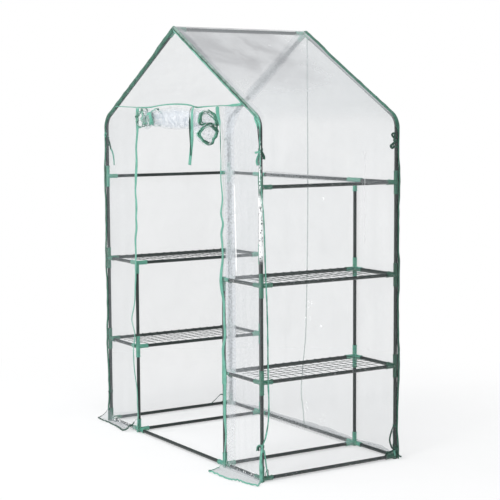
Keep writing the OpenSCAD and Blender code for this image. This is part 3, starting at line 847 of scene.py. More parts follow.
def zipMaterial():
    # Nylon zip coil: green, smooth and a little glossy, its tone varying in a fine noise
    material, tree = newMaterial("nylonZipCoil")
    place = addNode(tree, "ShaderNodeTexCoord").outputs["Object"]
    tone = addNode(tree, "ShaderNodeTexNoise",
                   {"Scale": 1000 / 5, "Detail": 2.0, "Roughness": 0.55}, {"Vector": place})
    colour = addNode(tree, "ShaderNodeMix",
                     {"data_type": "RGBA", "A_Color": paint("#3f7d67"),
                      "B_Color": paint("#79bda1")}, {"Factor_Float": tone.outputs["Fac"]})
    shader = addNode(tree, "ShaderNodeBsdfPrincipled", {"Roughness": 0.3, "IOR": 1.53},
                     {"Base Color": colour.outputs[2]})
    closeMaterial(tree, shader.outputs[0])
    return material


greenThread = threadMaterial()
zipCoil = zipMaterial()

for nodeName, part in nodes.items():
    if nodeName in ("upper_corner_connectors", "lower_corner_connectors",
                    "ground_corner_connectors"):
        finish = shadedPlastic      # a darker copy of the plastic: painted shade on the corner connectors
    elif nodeName.endswith("connectors"):
        finish = mouldedPlastic
    elif nodeName.startswith(("lower_shelf_left", "lower_shelf_right", "upper_shelf_left",
                              "upper_shelf_right")):
        finish = dippedWire
    else:
        finish = coatedTube
    for place in part.material_slots:
        place.material = finish
print("materials:", len(bpy.data.materials))


# Cover over the walls and the roof, one sheet on each side

cover = {
    "step": 0.012, "wallFold": 0.0009, "roofFold": 0.0009, "roofSag": 0.007, "crease": 0.0006,
    "edgeFree": 0.022, "edgeFull": 0.13, "pull": 0.0012, "creaseWidth": 0.010,
    # folds from packing: along the arch from the ground, and from front to rear
    "packedAcross": [0.31, 0.62, 0.93, 1.24, 1.72, 2.03], "packedAlong": [-0.19, 0.02, 0.21],
    # where the posts' ties pull: (place along the arch, reach)
    "pulledAt": [(wallTop - 0.07, 0.30), (0.155, 0.22)],
}


def inwardLimit(z, fromEdge):      # how far the film may go in before it meets the frame
    free = smooth((fromEdge - 0.07) / 0.06)
    return -(filmRoom + 0.012 * smooth((awayFrom(railZ, z) - 0.02) / 0.05) * free)


def coverSide(name, side, seed, replaced):
    rows = int(archLength / cover["step"]) + 1
    cols = int(2 * filmY / cover["step"]) + 1
    s = np.linspace(0, archLength, rows)[:, None]
    y = np.linspace(-filmY, filmY, cols)[None, :]
    s, y = np.broadcast_arrays(s, y)
    x, z = np.interp(s, archS, archX), np.interp(s, archS, archZ)
    nx, nz = np.interp(s, archS, archNx), np.interp(s, archS, archNz)
    onRoof = smooth((s - wallTop) / 0.10)
    fromEdge = filmY - np.abs(y)
    free = smooth((fromEdge - cover["edgeFree"]) / cover["edgeFull"])
    folds = waves(y, s, seed, 6, 0.07, 0.34, 0.16) * cover["wallFold"] * (1 - onRoof)
    folds = folds + waves(s, y, seed + 1, 6, 0.06, 0.26, 0.2) * cover["roofFold"] * onRoof
    packed = (creases(s, cover["packedAcross"], cover["creaseWidth"])
              + creases(y, cover["packedAlong"], cover["creaseWidth"])) * cover["crease"]
    pull = np.zeros_like(s)
    for cornerY in (-filmY, filmY):
        for cornerS, reach in cover["pulledAt"]:
            away = np.hypot(s - cornerS, y - cornerY)
            turn = np.arctan2(s - cornerS, np.abs(y - cornerY) + 1e-6)
            fading = cover["pull"] * np.exp(-away / reach) * smooth(away / 0.06)
            pull += fading * np.sin(9 * turn + seed)
    sag = cover["roofSag"] * onRoof * (1 - (y / filmY) ** 2) * smooth((archLength - s) / 0.12)
    out = (folds + packed + pull) * free - sag
    out = np.maximum(out, inwardLimit(z, fromEdge) * (1 - onRoof) - 0.012 * onRoof * free)
    spare = (slackAt(side, -1, z) * smooth(1 - (y + filmY) / 0.22)
             + slackAt(side, 1, z) * smooth(1 - (filmY - y) / 0.22))
    settled = settleAt(z)
    out = out + spare - settled * smooth(1 - (fromEdge - 0.03) / 0.10)
    y = y - np.sign(y) * settled * smooth((np.abs(y) - filmY + 0.03) / 0.03)
    grid = np.stack([side * (x + nx * out), y, z + nz * out], axis=2)
    film = roofFilm if side > 0 else sideFilm
    piece = makePiece(name, [sheetPart(grid, flip=side > 0)], film)
    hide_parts(*replaced)
    return piece


coverRight = coverSide("coverRight", 1, 11, ["wall_film_right", "roof_film_right"])
coverLeft = coverSide("coverLeft", -1, 23, ["wall_film_left", "roof_film_left"])
print("cover: both sides")


# Front film: two panels beside the doorway and the gable above the seam

frontLook = {
    "step": 0.011, "panelFold": 0.0016, "gableFold": 0.0005, "crease": 0.0005,
    "creaseWidth": 0.010,
    # folds from packing: heights, distances from the middle, and places across the gable
    "packedAcross": [0.30, 0.61, 0.92, 1.23], "packedAlong": [0.56],
    "packedGable": [-0.31, 0.0, 0.30],
    # zip lines and seam: (height, x) and (x, millimetres above the seam line)
    "leftZip": [(0.0, -0.388), (0.18, -0.386), (0.27, -0.406), (0.34, -0.418), (0.41, -0.420),
                (0.49, -0.404), (0.56, -0.432), (0.61, -0.416), (0.66, -0.398), (0.80, -0.391),
                (0.87, -0.385), (0.95, -0.392), (1.01, -0.372), (1.06, -0.376), (1.11, -0.370),
                (1.20, -0.380), (1.25, -0.374), (1.39, -0.366), (1.48, -0.353), (1.53, -0.347),
                (1.62, -0.343)],
    "rightZip": [(0.0, 0.432), (0.08, 0.434), (0.15, 0.436), (0.22, 0.435), (0.31, 0.434),
                 (0.42, 0.439), (0.48, 0.426), (0.53, 0.422), (0.58, 0.436), (0.66, 0.433),
                 (0.75, 0.425), (0.79, 0.418), (0.88, 0.415), (0.95, 0.427), (0.99, 0.425),
                 (1.04, 0.413), (1.08, 0.424), (1.12, 0.412), (1.18, 0.429), (1.27, 0.421),
                 (1.38, 0.420), (1.45, 0.421), (1.50, 0.410), (1.53, 0.401), (1.62, 0.400)],
    "seam": [(-0.62, -8), (-0.54, -10), (-0.33, -16), (-0.23, -17), (-0.13, -9), (0.04, -5),
             (0.15, -11), (0.21, -21), (0.27, -19), (0.40, -16), (0.54, -14), (0.62, -8)],
}


def zipX(side, z):
    return through(frontLook["leftZip" if side < 0 else "rightZip"], z)


def seamAt(x):
    return seamZ + through(frontLook["seam"], x) / 1000


def frontPanel(name, side, seed, replaced):
    rows = int(1.6 / frontLook["step"]) + 1
    cols = int((filmX - innerX) / frontLook["step"]) + 3
    t = np.linspace(0, 1, rows)[:, None]
    f = np.linspace(0, 1, cols)[None, :]
    t, f = np.broadcast_arrays(t, f)
    z = filmLow + t * (seamZ - filmLow)
    for _ in range(4):
        inner = zipX(side, z)
        x = inner + f * (side * outlineX(z) - inner)
        z = filmLow + t * (seamAt(x) - filmLow)
    fromPost = np.minimum(np.abs(np.abs(x) - postX), np.abs(np.abs(x) - innerX))
    free = smooth((fromPost - 0.01) / 0.07)
    fold = waves(x, z, seed, 7, 0.045, 0.20, 0.10) * frontLook["panelFold"]
    width = frontLook["creaseWidth"]
    packed = (creases(z, frontLook["packedAcross"], width)
              + creases(np.abs(x), frontLook["packedAlong"], width)) * frontLook["crease"]
    out = (fold + packed) * (0.25 + 0.75 * free)
    room = filmRoom + 0.010 * smooth((awayFrom(railZ[:3], z) - 0.02) / 0.05) * free
    out = np.maximum(out, -room)
    nearCorner = smooth(1 - (outlineX(z) - np.abs(x)) / 0.16)
    outward = slackAt(side, -1, z) * nearCorner
    x = x + side * (outward - settleAt(z)) * nearCorner
    out = out + 0.35 * outward - settleAt(z) * nearCorner
    grid = np.stack([x, -filmY - out, z], axis=2)
    piece = makePiece(name, [sheetPart(grid, flip=side < 0)],
                      panelFilm if side > 0 else bunchedFilm)
    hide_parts(replaced)
    return piece


def gable(name, seed):
    widest = outlineX(seamZ + 0.004) - 0.002
    cols = int(2 * widest / frontLook["step"]) + 1
    rows = int((ridgeZ - seamZ) / frontLook["step"]) + 1
    f = np.linspace(-1, 1, cols)[None, :]
    t = np.linspace(0, 1, rows)[:, None]
    f, t = np.broadcast_arrays(f, t)
    x = f * widest
    top = ridgeZ + filmOut / math.cos(slope) - np.abs(x) * math.tan(slope)
    low = np.minimum(seamAt(x), top - 0.0005)
    z = low + t * (top - low)
    edge = np.minimum(top - z, z - low)
    fold = (waves(x, z, seed, 6, 0.06, 0.25, 0.5) * frontLook["gableFold"]
            + creases(x, frontLook["packedGable"], frontLook["creaseWidth"]) * frontLook["crease"])
    out = np.maximum(fold * smooth(edge / 0.08), -0.004) - settleAt(z) * smooth(1 - edge / 0.08)
    z = z - settleAt(z) * smooth(1 - (top - z) / 0.03)
    grid = np.stack([x, -filmY - out, z], axis=2)
    piece = makePiece(name, [sheetPart(grid)], clearFilm)
    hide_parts("gable_film_front")
    return piece


rearLook = {
    "step": 0.014, "fold": 0.0012, "crease": 0.0011, "creaseWidth": 0.012,
    "packedAcross": [0.31, 0.62, 0.93, 1.24, 1.55], "packedAlong": [0.20, 0.56],
}


def rearWall(name, seed):
    step = rearLook["step"]
    rows, cols = int(1.95 / step), int(2 * filmX / step)
    t = np.linspace(0, 1, rows)[:, None]
    f = np.linspace(-1, 1, cols)[None, :]
    t, f = np.broadcast_arrays(t, f)
    z = filmLow + t * (ridgeZ + filmOut / math.cos(slope) - filmLow)
    x = f * outlineX(z)
    edge = outlineX(z) - np.abs(x)
    fromPost = np.minimum(np.abs(np.abs(x) - postX), np.abs(np.abs(x) - innerX))
    free = smooth((fromPost - 0.01) / 0.08) * smooth(edge / 0.1)
    packed = (creases(z, rearLook["packedAcross"], rearLook["creaseWidth"])
              + creases(np.abs(x), rearLook["packedAlong"], rearLook["creaseWidth"]))
    fold = (waves(x, z, seed, 7, 0.08, 0.36, 0.14) * rearLook["fold"]
            + packed * rearLook["crease"])
    room = filmRoom + 0.010 * smooth((awayFrom(railZ, z) - 0.02) / 0.05) * free
    out = np.maximum(fold * (0.2 + 0.8 * free), -room)
    spare = [slackAt(side, 1, z) * smooth(1 - (filmX - side * x) / 0.2) for side in (-1, 1)]
    nearEdge = smooth(1 - edge / 0.03)
    x = x - spare[0] + spare[1] - np.sign(x) * settleAt(z) * nearEdge
    out = out - settleAt(z) * smooth(1 - edge / 0.10)
    grid = np.stack([x, filmY + out, z], axis=2)
    piece = makePiece(name, [sheetPart(grid, flip=True)], rearFilm)
    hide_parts("wall_film_rear")
    return piece


panelRight = frontPanel("frontPanelRight", 1, 31, "front_panel_right")
panelLeft = frontPanel("frontPanelLeft", -1, 47, "front_panel_left")
gableFront = gable("gableFront", 59)
wallRear = rearWall("rearWall", 67)
print("front and rear film")


# Skirts that lie out over the ground

skirtLook = {
    "ripple": 0.007, "hem": 0.007, "curl": 0.9, "raised": 0.050,
    # (place along the skirt from 0 to 1, x, how far out in mm)
    "frontLeft": [(0, -0.784, 28), (0.15, -0.735, 33), (0.35, -0.650, 29), (0.55, -0.590, 36),
                  (0.8, -0.510, 45), (1, -0.450, 56)],
    "frontRight": [(0, 0.445, 98), (0.12, 0.505, 96), (0.35, 0.600, 92), (0.6, 0.665, 72),
                   (0.8, 0.715, 62), (1, 0.768, 47)],
    "rear": [(0, -0.62, 60), (0.1, -0.56, 78), (0.3, -0.37, 66), (0.5, 0.0, 84), (0.7, 0.35, 64),
             (0.9, 0.50, 82), (1, 0.55, 70)],
}


def skirt(outer, x0, x1, sideY, seed, cols):
    f = np.linspace(0, 1, cols)
    outX, reach = through(outer, f).T
    inX = x0 + (x1 - x0) * f
    rows = 12
    t = np.linspace(0, 1, rows)[:, None]
    x = inX[None, :] + (outX - inX)[None, :] * t
    far = reach[None, :] / 1000 * t
    lift = np.abs(waves(f[None, :] * 0.7, t, seed, 4, 0.08, 0.2, 0.2)) * skirtLook["ripple"]
    z = 0.0012 + 0.016 * (1 - smooth(t / 0.30)) + lift * smooth(t / 0.35) * (1 - 0.45 * t)
    if x1 < 0:      # both ends still hang from the zip and the binding
        ends = smooth((f[None, :] - 0.78) / 0.22) + smooth(1 - f[None, :] / 0.22)
        z = z + skirtLook["raised"] * ends * (1 - t) ** 1.3
    y = sideY * (filmY + far)
    return np.stack([x, np.broadcast_to(y, x.shape), z], axis=2)


def hemOf(line, inward, width):
    across = unit(unit(inward) + np.array([0, 0, skirtLook["curl"]]))      # the hem curls up
    grid = line[:, None, :] + across[:, None, :] * np.linspace(-0.1, 1, 4)[None, :, None] * width
    grid[..., 2] += 0.0008      # off the film under it
    return stripPart(grid, tapeThick)


def skirtPiece(name, outer, x0, x1, sideY, seed, cols):
    grid = skirt(outer, x0, x1, sideY, seed, cols)
    piece = makePiece(name, [sheetPart(grid, flip=sideY > 0)], skirtFilm)
    width = skirtLook["hem"]
    hems = [hemOf(grid[-1], grid[-3] - grid[-1], width),
            hemOf(grid[2:, 0], grid[2:, 2] - grid[2:, 0], width),
            hemOf(grid[2:, -1], grid[2:, -3] - grid[2:, -1], width)]
    # the left skirt's hem takes the darker copy of the tape: painted shade
    tape = mintTape if x0 > 0 else shadedTape
    hem = makePiece(name + "Hem", hems, tape) if sideY < 0 else None
    return piece, hem


skirtFilm = filmMaterial("clearPvcFilmSkirt", dict(filmLook, clearest=0.28, haziest=0.42,
                                                   pleatGlints=[], crumpleGlints=[], clouded=[]))
skirtRight, hemRight = skirtPiece("skirtFrontRight", skirtLook["frontRight"], innerX,
                                         filmX, -1, 71, 44)
skirtLeft, hemLeft = skirtPiece("skirtFrontLeft", skirtLook["frontLeft"], -filmX,
                                       -innerX, -1, 73, 44)
skirtRear = skirtPiece("skirtRear", skirtLook["rear"], -filmX, filmX, 1, 79, 150)[0]
flapLine = pathThrough([(-0.698, 0.225, 0.016), (-0.700, 0.262, 0.040), (-0.702, 0.300, 0.061),
                        (-0.702, 0.312, 0.052), (-0.702, 0.318, 0.040)], 0.006)
flapAcross = np.broadcast_to(unit(np.array([0.2, -0.4, -1.0])), flapLine.shape)
makePiece("wallHemFlap", [stripPart(ribbonGrid(flapLine, flapAcross, 0.006), tapeThick)],
          shadedTape)
for part in (skirtRight, skirtLeft, skirtRear):
    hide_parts("ground_skirts")
print("skirts")


# Bindings folded over the sewn edges: one leg on the front film and one on the cover; where the
# cover is pulled off the post the two legs close into a fin

bindingLook = {
    "front": 0.017, "leftSlope": 0.023, "rearSlope": 0.019, "side": 0.007, "fin": 0.007,
    "thick": tapeThick, "step": 0.008,
    # At the front right corner the cover has slipped round the post: (height, how far the legs
    # have closed, the fin's turn in degrees from sideways to forwards, mm towards the rear)
    "slipped": [(0, 0.1, 5, 0), (0.12, 0.5, 5, 0), (0.155, 0.9, 5, 4), (0.19, 0.95, 5, 20),
                (0.24, 0.95, 5, 31), (0.45, 0.95, 5, 34), (0.75, 0.95, 5, 31),
                (0.86, 0.95, 5, 25), (1.0, 0.95, 5, 21), (1.14, 0.95, 12, 15),
                (1.25, 0.95, 33, 6), (1.47, 0.95, 33, 0), (1.54, 0.2, 15, 0), (1.60, 0, 0, 0),
                (2.4, 0, 0, 0)],
}


def bindingLine(sideX, sideY, out=filmOut):
    s, x, z, nx, nz = archCurve(out, bindingLook["step"])
    spare = slackAt(sideX, sideY, z) - settleAt(z)
    line = np.stack([sideX * (x + nx * spare), np.full_like(x, sideY * filmY), z + nz * spare],
                    axis=1)
    line[:, 1] += sideY * np.where(spare > 0, 0.35 * spare, spare)
    outward = np.stack([sideX * nx, np.zeros_like(x), nz], axis=1)
    return s, line, outward


def binding(name, sideY, seed, replaced):
    parts, lines, faces = [], [], []
    look = bindingLook
    legs = np.array([-1, -0.6, -0.25, 0, 0.25, 0.6, 1])
    for sideX in (-1, 1):
        s, line, outward = bindingLine(sideX, sideY)
        closed = 0.04 * (1 + waves(s, 0 * s, seed + sideX, 4, 0.25, 0.9, 0.1))
        lean = 0 * s
        if sideX > 0 > sideY:
            more, turned, back = through(look["slipped"], line[:, 2]).T
            closed, lean = closed + more, lean + np.radians(turned)
            line[:, 1] += back / 1000
        closed, lean = np.clip(closed, 0, 1)[:, None], lean[:, None]
        ahead, beside = math.pi + lean * closed, -math.pi / 2 * (1 + closed) + lean * closed
        normal = np.where(legs < 0, ahead - math.pi / 2, beside + math.pi / 2)
        normal = np.where(legs == 0, (ahead + beside) / 2, normal)
        ahead = np.where(legs < 0, ahead, beside)
        # the leg is drawn in where the two have closed, and broad on the left slope
        front = look["front"] * (1 - 0.5 * closed)
        if sideX > 0 > sideY:
            front = front * (1 - 0.75 * smooth(1 - np.abs(line[:, 2:] - 1.37) / 0.11))
        if sideX < 0 > sideY:
            onSlope = smooth((line[:, 2:] - wallTop) / 0.05)
            front = front + (look["leftSlope"] - front) * onSlope
        beyond = look["side"] + 0 * line[:, 2:]
        if sideX > 0 and sideY > 0:
            beyond = beyond + (look["rearSlope"] - beyond) * smooth((line[:, 2:] - 1.46) / 0.05)
        width = np.where(legs < 0, front, beyond) * np.abs(legs)
        swell = 0.0009 + 0.0007 * waves(s[:, None], legs[None, :] * 0.01, seed + 5, 5, 0.05, 0.2, 0.1)
        swell = np.maximum(swell, 0.0006)
        inPlane = width * np.cos(ahead) + closed * look["fin"] * np.cos(lean) + swell * np.cos(normal)
        forward = width * np.sin(ahead) + closed * look["fin"] * np.sin(lean) + swell * np.sin(normal)
        away = np.array([0.0, sideY, 0.0])
        grid = (line[:, None, :] + outward[:, None, :] * inPlane[..., None]
                + away[None, None, :] * forward[..., None])
        normals = (outward[:, None, :] * np.cos(normal)[..., None]
                   + away[None, None, :] * np.sin(normal)[..., None])
        turned = sideX * sideY > 0
        part = stripPart(grid[:, ::-1] if turned else grid, look["thick"],
                         normals[:, ::-1] if turned else normals)
        parts.append(part)
        for col in (1, -2):
            lines.append(grid[:, col])
            faces.append(normals[:, col])
    piece = makePiece(name, parts, thinTape)
    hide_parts(replaced)
    return piece, lines, faces


frontBinding, frontLines, frontFaces = binding("frontBinding", -1, 83, "front_binding")
rearBinding, rearLines, rearFaces = binding("rearBinding", 1, 97, "rear_binding")


def flatTape(name, knots, width, facing, thick, material, replaced):
    path = pathThrough(knots, 0.006)
    across = acrossFrom(path, np.broadcast_to(np.array(facing, float), path.shape))
    grid = ribbonGrid(path, across, width, 4)
    piece = makePiece(name, [stripPart(grid, thick)], material)
    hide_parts(replaced)


# the film is drawn aside low down: (height, mm)
rearSeamX = [(0, -30), (0.08, -38), (0.16, -54), (0.30, -42), (0.45, -18), (0.60, -10), (0.9, 0),
             (2.0, 0)]
flatTape(
    "rearSeamTape", [(through(rearSeamX, z) / 1000, filmY + 0.0022, z)
                     for z in np.linspace(0.004, ridgeZ - 0.004, 60)],
    0.008, (0, 1, 0), 0.0009, seamTape, "rear_seam_tape")

doorSeamLook = {"deep": 0.0065, "thick": 0.0016}
seamEnd = outlineX(seamZ) - 0.020
seamX = np.linspace(-seamEnd, seamEnd, 160)
droop = 0.35 + 0.5 * waves(seamX, 0 * seamX, 101, 4, 0.2, 0.6, 0.1)
seamLine = np.stack([seamX, np.full_like(seamX, -filmY - 0.0015), seamAt(seamX)], axis=1)
seamDown = np.stack([0 * seamX, -np.sin(droop), -np.cos(droop)], axis=1)
seamDown *= (0.55 + 0.45 * smooth((0.42 - np.abs(seamX)) / 0.2)
             + 1.2 * smooth((seamX - 0.46) / 0.06))[:, None]
seamGrid = (seamLine[:, None, :]
            + seamDown[:, None, :] * np.linspace(-0.5, 0.5, 4)[None, :, None]
            * doorSeamLook["deep"])
doorSeam = makePiece("doorSeamBinding", [stripPart(seamGrid, doorSeamLook["thick"])], mintTape)
print("bindings and seams")


# Zips beside the doorway: a tape on the edge of each front panel, with its coil

zipLook = {
    "tape": 0.018, "thick": tapeThick,
    # turn of the tape about its own line (height, degrees from facing forwards)
    "wideFrom": 1.47, "wider": 1.35,
    "leftTurn": [(0, 17), (0.3, 14), (0.6, 15), (0.75, 9), (0.9, 4), (1.01, -3), (1.06, 1),
                 (1.11, -3), (1.20, 4), (1.25, -8), (1.39, 1), (1.48, -3), (1.61, -8)],
    "rightTurn": [(0, 12), (0.08, 16), (0.15, 7), (0.22, -4), (0.42, -12), (0.53, -4), (0.75, -4),
                  (0.79, -12), (0.88, -4), (0.95, 7), (1.04, 4), (1.18, 12), (1.33, 20),
                  (1.50, 22), (1.54, -18), (1.61, -20)],
}
zipLines = {}
zipParts = []
for side in (-1, 1):
    top = seamAt(zipX(side, seamZ)) - 0.004
    z = np.linspace(0.004, top, 260)
    forward = 0.0016 + 0.0018 * (1 + waves(z, 0 * z, 107 + side, 4, 0.12, 0.5, 0.1))
    line = np.stack([zipX(side, z), -filmY - forward, z], axis=1)
    turn = np.radians(through(zipLook["leftTurn" if side < 0 else "rightTurn"], z))
    across = np.stack([np.cos(turn), np.sin(turn) * -1.0, 0 * z], axis=1)
    # the tape turns about the edge nearest the panel, so that it stays clear of the film
    line[:, 1] -= np.abs(np.sin(turn)) * 0.5 * zipLook["tape"]
    width = zipLook["tape"] * (1 + (zipLook["wider"] - 1)
                               * smooth((z - zipLook["wideFrom"]) / 0.03) * (side < 0))
    grid = ribbonGrid(line, across, width, 5)
    zipParts.append(stripPart(grid, zipLook["thick"]))
    face = unit(np.cross(np.gradient(line, axis=0), across))
    zipLines[side] = (line, face)
zipTapes = makePiece("zipTapes", zipParts, mintTape)
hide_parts("zip_tapes")
print("zip tapes")


# Rolled-up door: one sheet wound under the seam, loose and open at its right-hand end

rollLook = {
    "turns": 9.0, "perTurn": 32, "step": 0.0095, "last": 0.325,
    # (x, centre y, centre z, half depth, half height)
    "sections": [(-0.345, -0.3700, 1.539, 0.028, 0.046), (-0.260, -0.3695, 1.538, 0.027, 0.044),
                 (-0.165, -0.3690, 1.541, 0.024, 0.038), (-0.090, -0.3700, 1.537, 0.030, 0.049),
                 (0.000, -0.3690, 1.537, 0.030, 0.051), (0.120, -0.3700, 1.536, 0.029, 0.049),
                 (0.190, -0.3690, 1.536, 0.026, 0.044), (0.335, -0.3690, 1.533, 0.030, 0.047)],
    # where each turn's left edge lies, in mm from the first: the edges have slipped apart
    "slip": [(0, 0), (0.6, 14), (1.2, 62), (1.8, 22), (2.5, 96), (3.2, 40), (4.0, 118),
             (4.8, 58), (5.6, 120), (6.4, 70), (7.2, 110), (8, 60), (9, 90)],
    # the open end sags in two lobes, one bunch of layers in each: (y, z) round each
    "upper": [(-0.428, 1.513), (-0.427, 1.536), (-0.415, 1.560), (-0.395, 1.572),
              (-0.373, 1.572), (-0.354, 1.560), (-0.336, 1.541), (-0.329, 1.519),
              (-0.328, 1.501), (-0.359, 1.512), (-0.392, 1.511), (-0.414, 1.502)],
    "lower": [(-0.438, 1.470), (-0.420, 1.446), (-0.397, 1.428), (-0.372, 1.416),
              (-0.351, 1.419), (-0.345, 1.441), (-0.322, 1.481), (-0.336, 1.496),
              (-0.361, 1.509), (-0.392, 1.507), (-0.418, 1.488)],
    "upperMiddle": (-0.376, 1.536), "lowerMiddle": (-0.378, 1.464),
    "openFrom": 0.19, "openTo": 0.295, "dropFrom": 3.9, "dropTo": 4.5,
    "crumple": 0.0034, "hem": 0.016,
}


def openShape(look, lobe, angle):      # radius of a lobe's outer turn, by angle
    points = np.array(look[lobe]) - look[lobe + "Middle"]
    angles = np.arctan2(points[:, 1], points[:, 0])
    order = np.argsort(angles)
    return np.interp(angle, angles[order], np.hypot(*points[order].T), period=2 * math.pi)


def rolledDoor(look):
    first, last = look["sections"][0][0], look["last"]
    cols = int((last - first) / look["step"]) + 1
    rows = int(look["turns"] * look["perTurn"])
    wound = np.linspace(0, look["turns"], rows)[:, None]
    share = wound / look["turns"]
    start = first + through(look["slip"], wound[:, 0])[:, None] / 1000
    x = start + (last - start) * np.linspace(0, 1, cols)[None, :]
    yc, zc, ay, az = np.moveaxis(through(look["sections"], x.ravel()), 1, 0).reshape(4, rows, cols)
    # hangs from the seam, goes down behind, under, up the front and round again
    angle = math.pi / 2 - 2 * math.pi * wound
    oval = 1 / (np.abs(np.cos(angle)) ** 2.4 + np.abs(np.sin(angle)) ** 2.4) ** (1 / 2.4)
    tight = 1 - 0.62 * share ** 0.8
    y = yc + ay * oval * np.cos(angle) * tight
    z = zc + az * (oval * np.sin(angle) * tight - 0.3 * (1 - tight))
    dropped = smooth((wound - look["dropFrom"]) / (look["dropTo"] - look["dropFrom"]))
    openY, openZ = 0, 0
    for lobe, size, part in (("upper", 1 - 0.075 * wound, 1 - dropped),
                             ("lower", 1.18 - 0.052 * wound, dropped)):
        reach = openShape(look, lobe, angle) * np.minimum(size, 1)
        openY = openY + part * (look[lobe + "Middle"][0] + reach * np.cos(angle))
        openZ = openZ + part * (look[lobe + "Middle"][1] + reach * np.sin(angle))
    opened = smooth((x - look["openFrom"]) / (look["openTo"] - look["openFrom"]))
    y, z = y + (openY - y) * opened, z + (openZ - z) * opened
    grid = np.stack([x, y, z], axis=2)
    along = lengths(grid[:, cols // 2])[:, None]
    crumple = (waves(along, x, 113, 7, 0.02, 0.07, 0.35)
               + 0.7 * waves(x, along, 127, 5, 0.04, 0.12, 0.6))
    ends = 1.5 * np.exp(-(x - first) / 0.09) + 0.3 * np.exp(-(last - x) / 0.05)
    depth = look["crumple"] * (0.55 + 0.9 * ends) * (0.35 + 0.65 * tight)
    grid = grid + gridNormals(grid) * (crumple * depth)[..., None]
    grid[..., 2] = np.minimum(grid[..., 2], seamAt(grid[..., 0]) - 0.005)
    return grid


rollGrid = rolledDoor(rollLook)
doorRoll = makePiece("doorRoll", [sheetPart(rollGrid)], rolledFilm)


def rollHem(edge, inner):
    reach = np.array([-0.06, 0.45, 0.9]) * rollLook["hem"] / rollLook["step"]
    return stripPart(edge[:, None, :] + (inner - edge)[:, None, :] * reach[None, :, None],
                     tapeThick)


rollHems = makePiece("doorRollHems", [rollHem(rollGrid[:, 0], rollGrid[:, 1]),
                                      rollHem(rollGrid[:, -1], rollGrid[:, -2])],
                     hemTape)
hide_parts("door_roll")
print("rolled door")


# Straps for the roll: a pair at each place, knotted on the left and hanging on the right

strapLook = {
    "width": 0.015, "thick": 0.0012, "knotX": -0.168, "tailWidth": 0.013,
    # middle of the roll at the knot as (y, z), and the strap's half depth and half height
    "knotMiddle": (-0.369, 1.5415), "knotHalf": (0.0290, 0.0410),
    "hangingOuter": [(0.206, -0.3725, 1.588), (0.213, -0.388, 1.584), (0.222, -0.401, 1.572),
                     (0.229, -0.407, 1.545), (0.231, -0.408, 1.495), (0.227, -0.407, 1.440),
                     (0.215, -0.406, 1.390), (0.201, -0.405, 1.330)],
    "hangingInner": [(0.196, -0.3725, 1.588), (0.201, -0.392, 1.583), (0.208, -0.404, 1.570),
                     (0.213, -0.409, 1.540), (0.216, -0.410, 1.490), (0.218, -0.408, 1.425),
                     (0.216, -0.406, 1.372)],
}


def turningRibbon(knots, facings, width, thick, step=0.005):
    path = pathThrough(knots, step)
    share = lengths(path) / lengths(path)[-1]
    facing = unit(through([(a, *b) for a, b in facings], share))
    across = acrossFrom(path, facing)
    grid = ribbonGrid(path, across, width, 4)
    return stripPart(grid, thick)


strapOuter = makePiece("doorStrapOuter", [turningRibbon(
    strapLook["hangingOuter"],
    [(0, (0, -0.3, 1)), (0.12, (0, -1, 0.6)), (0.3, (0.3, -1, 0)), (1, (0.5, -1, 0))],
    strapLook["width"], strapLook["thick"])], mintTape)
strapInner = makePiece("doorStrapInner", [turningRibbon(
    strapLook["hangingInner"],
    [(0, (0, -0.3, 1)), (0.15, (-0.3, -1, 0.4)), (0.4, (-1, -0.4, 0)), (1, (-1, -0.6, 0))],
    strapLook["width"] * 0.8, strapLook["thick"])], shadedTape)
knotX = strapLook["knotX"]
(knotY, knotZ), (halfY, halfZ) = strapLook["knotMiddle"], strapLook["knotHalf"]
around = []
for k in range(22):
    a = math.radians(90 + 360 * k / 20)
    around.append((knotX + 0.010 * math.sin(1.3 * k), knotY + halfY * math.cos(a),
                   knotZ + halfZ * math.sin(a)))
path = pathThrough(around, 0.005)
outwardFace = unit((path - np.array([knotX, knotY, knotZ])) * np.array([0, 1, 1]))
knotted = [stripPart(ribbonGrid(path, acrossFrom(path, outwardFace), strapLook["width"], 4),
                     strapLook["thick"])]
knotted.append(turningRibbon(
    [(knotX - 0.001, -0.400, 1.562), (knotX + 0.015, -0.411, 1.548),
     (knotX + 0.020, -0.409, 1.526), (knotX + 0.006, -0.407, 1.508)],
    [(0, (0.4, -1, 0.2)), (0.5, (1, -0.8, 0)), (1, (0.2, -1, 0))],
    strapLook["tailWidth"], strapLook["thick"]))
knotted.append(turningRibbon(
    [(knotX - 0.001, -0.400, 1.562), (knotX - 0.021, -0.410, 1.552),
     (knotX - 0.030, -0.409, 1.530), (knotX - 0.022, -0.407, 1.510)],
    [(0, (0.2, -1, 0.2)), (0.5, (-1, -0.8, 0)), (1, (-0.2, -1, 0))],
    strapLook["tailWidth"], strapLook["thick"]))
strapKnotted = makePiece("doorStrapKnotted", knotted, mintTape)
for part in (strapOuter, strapInner, strapKnotted):
    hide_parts("door_straps")
print("straps")


# Ties that hold the cover to the corner posts, mostly inside the film. Each is drawn as seen from
# the front right corner: mm to the right of the post and mm above the tie's own height

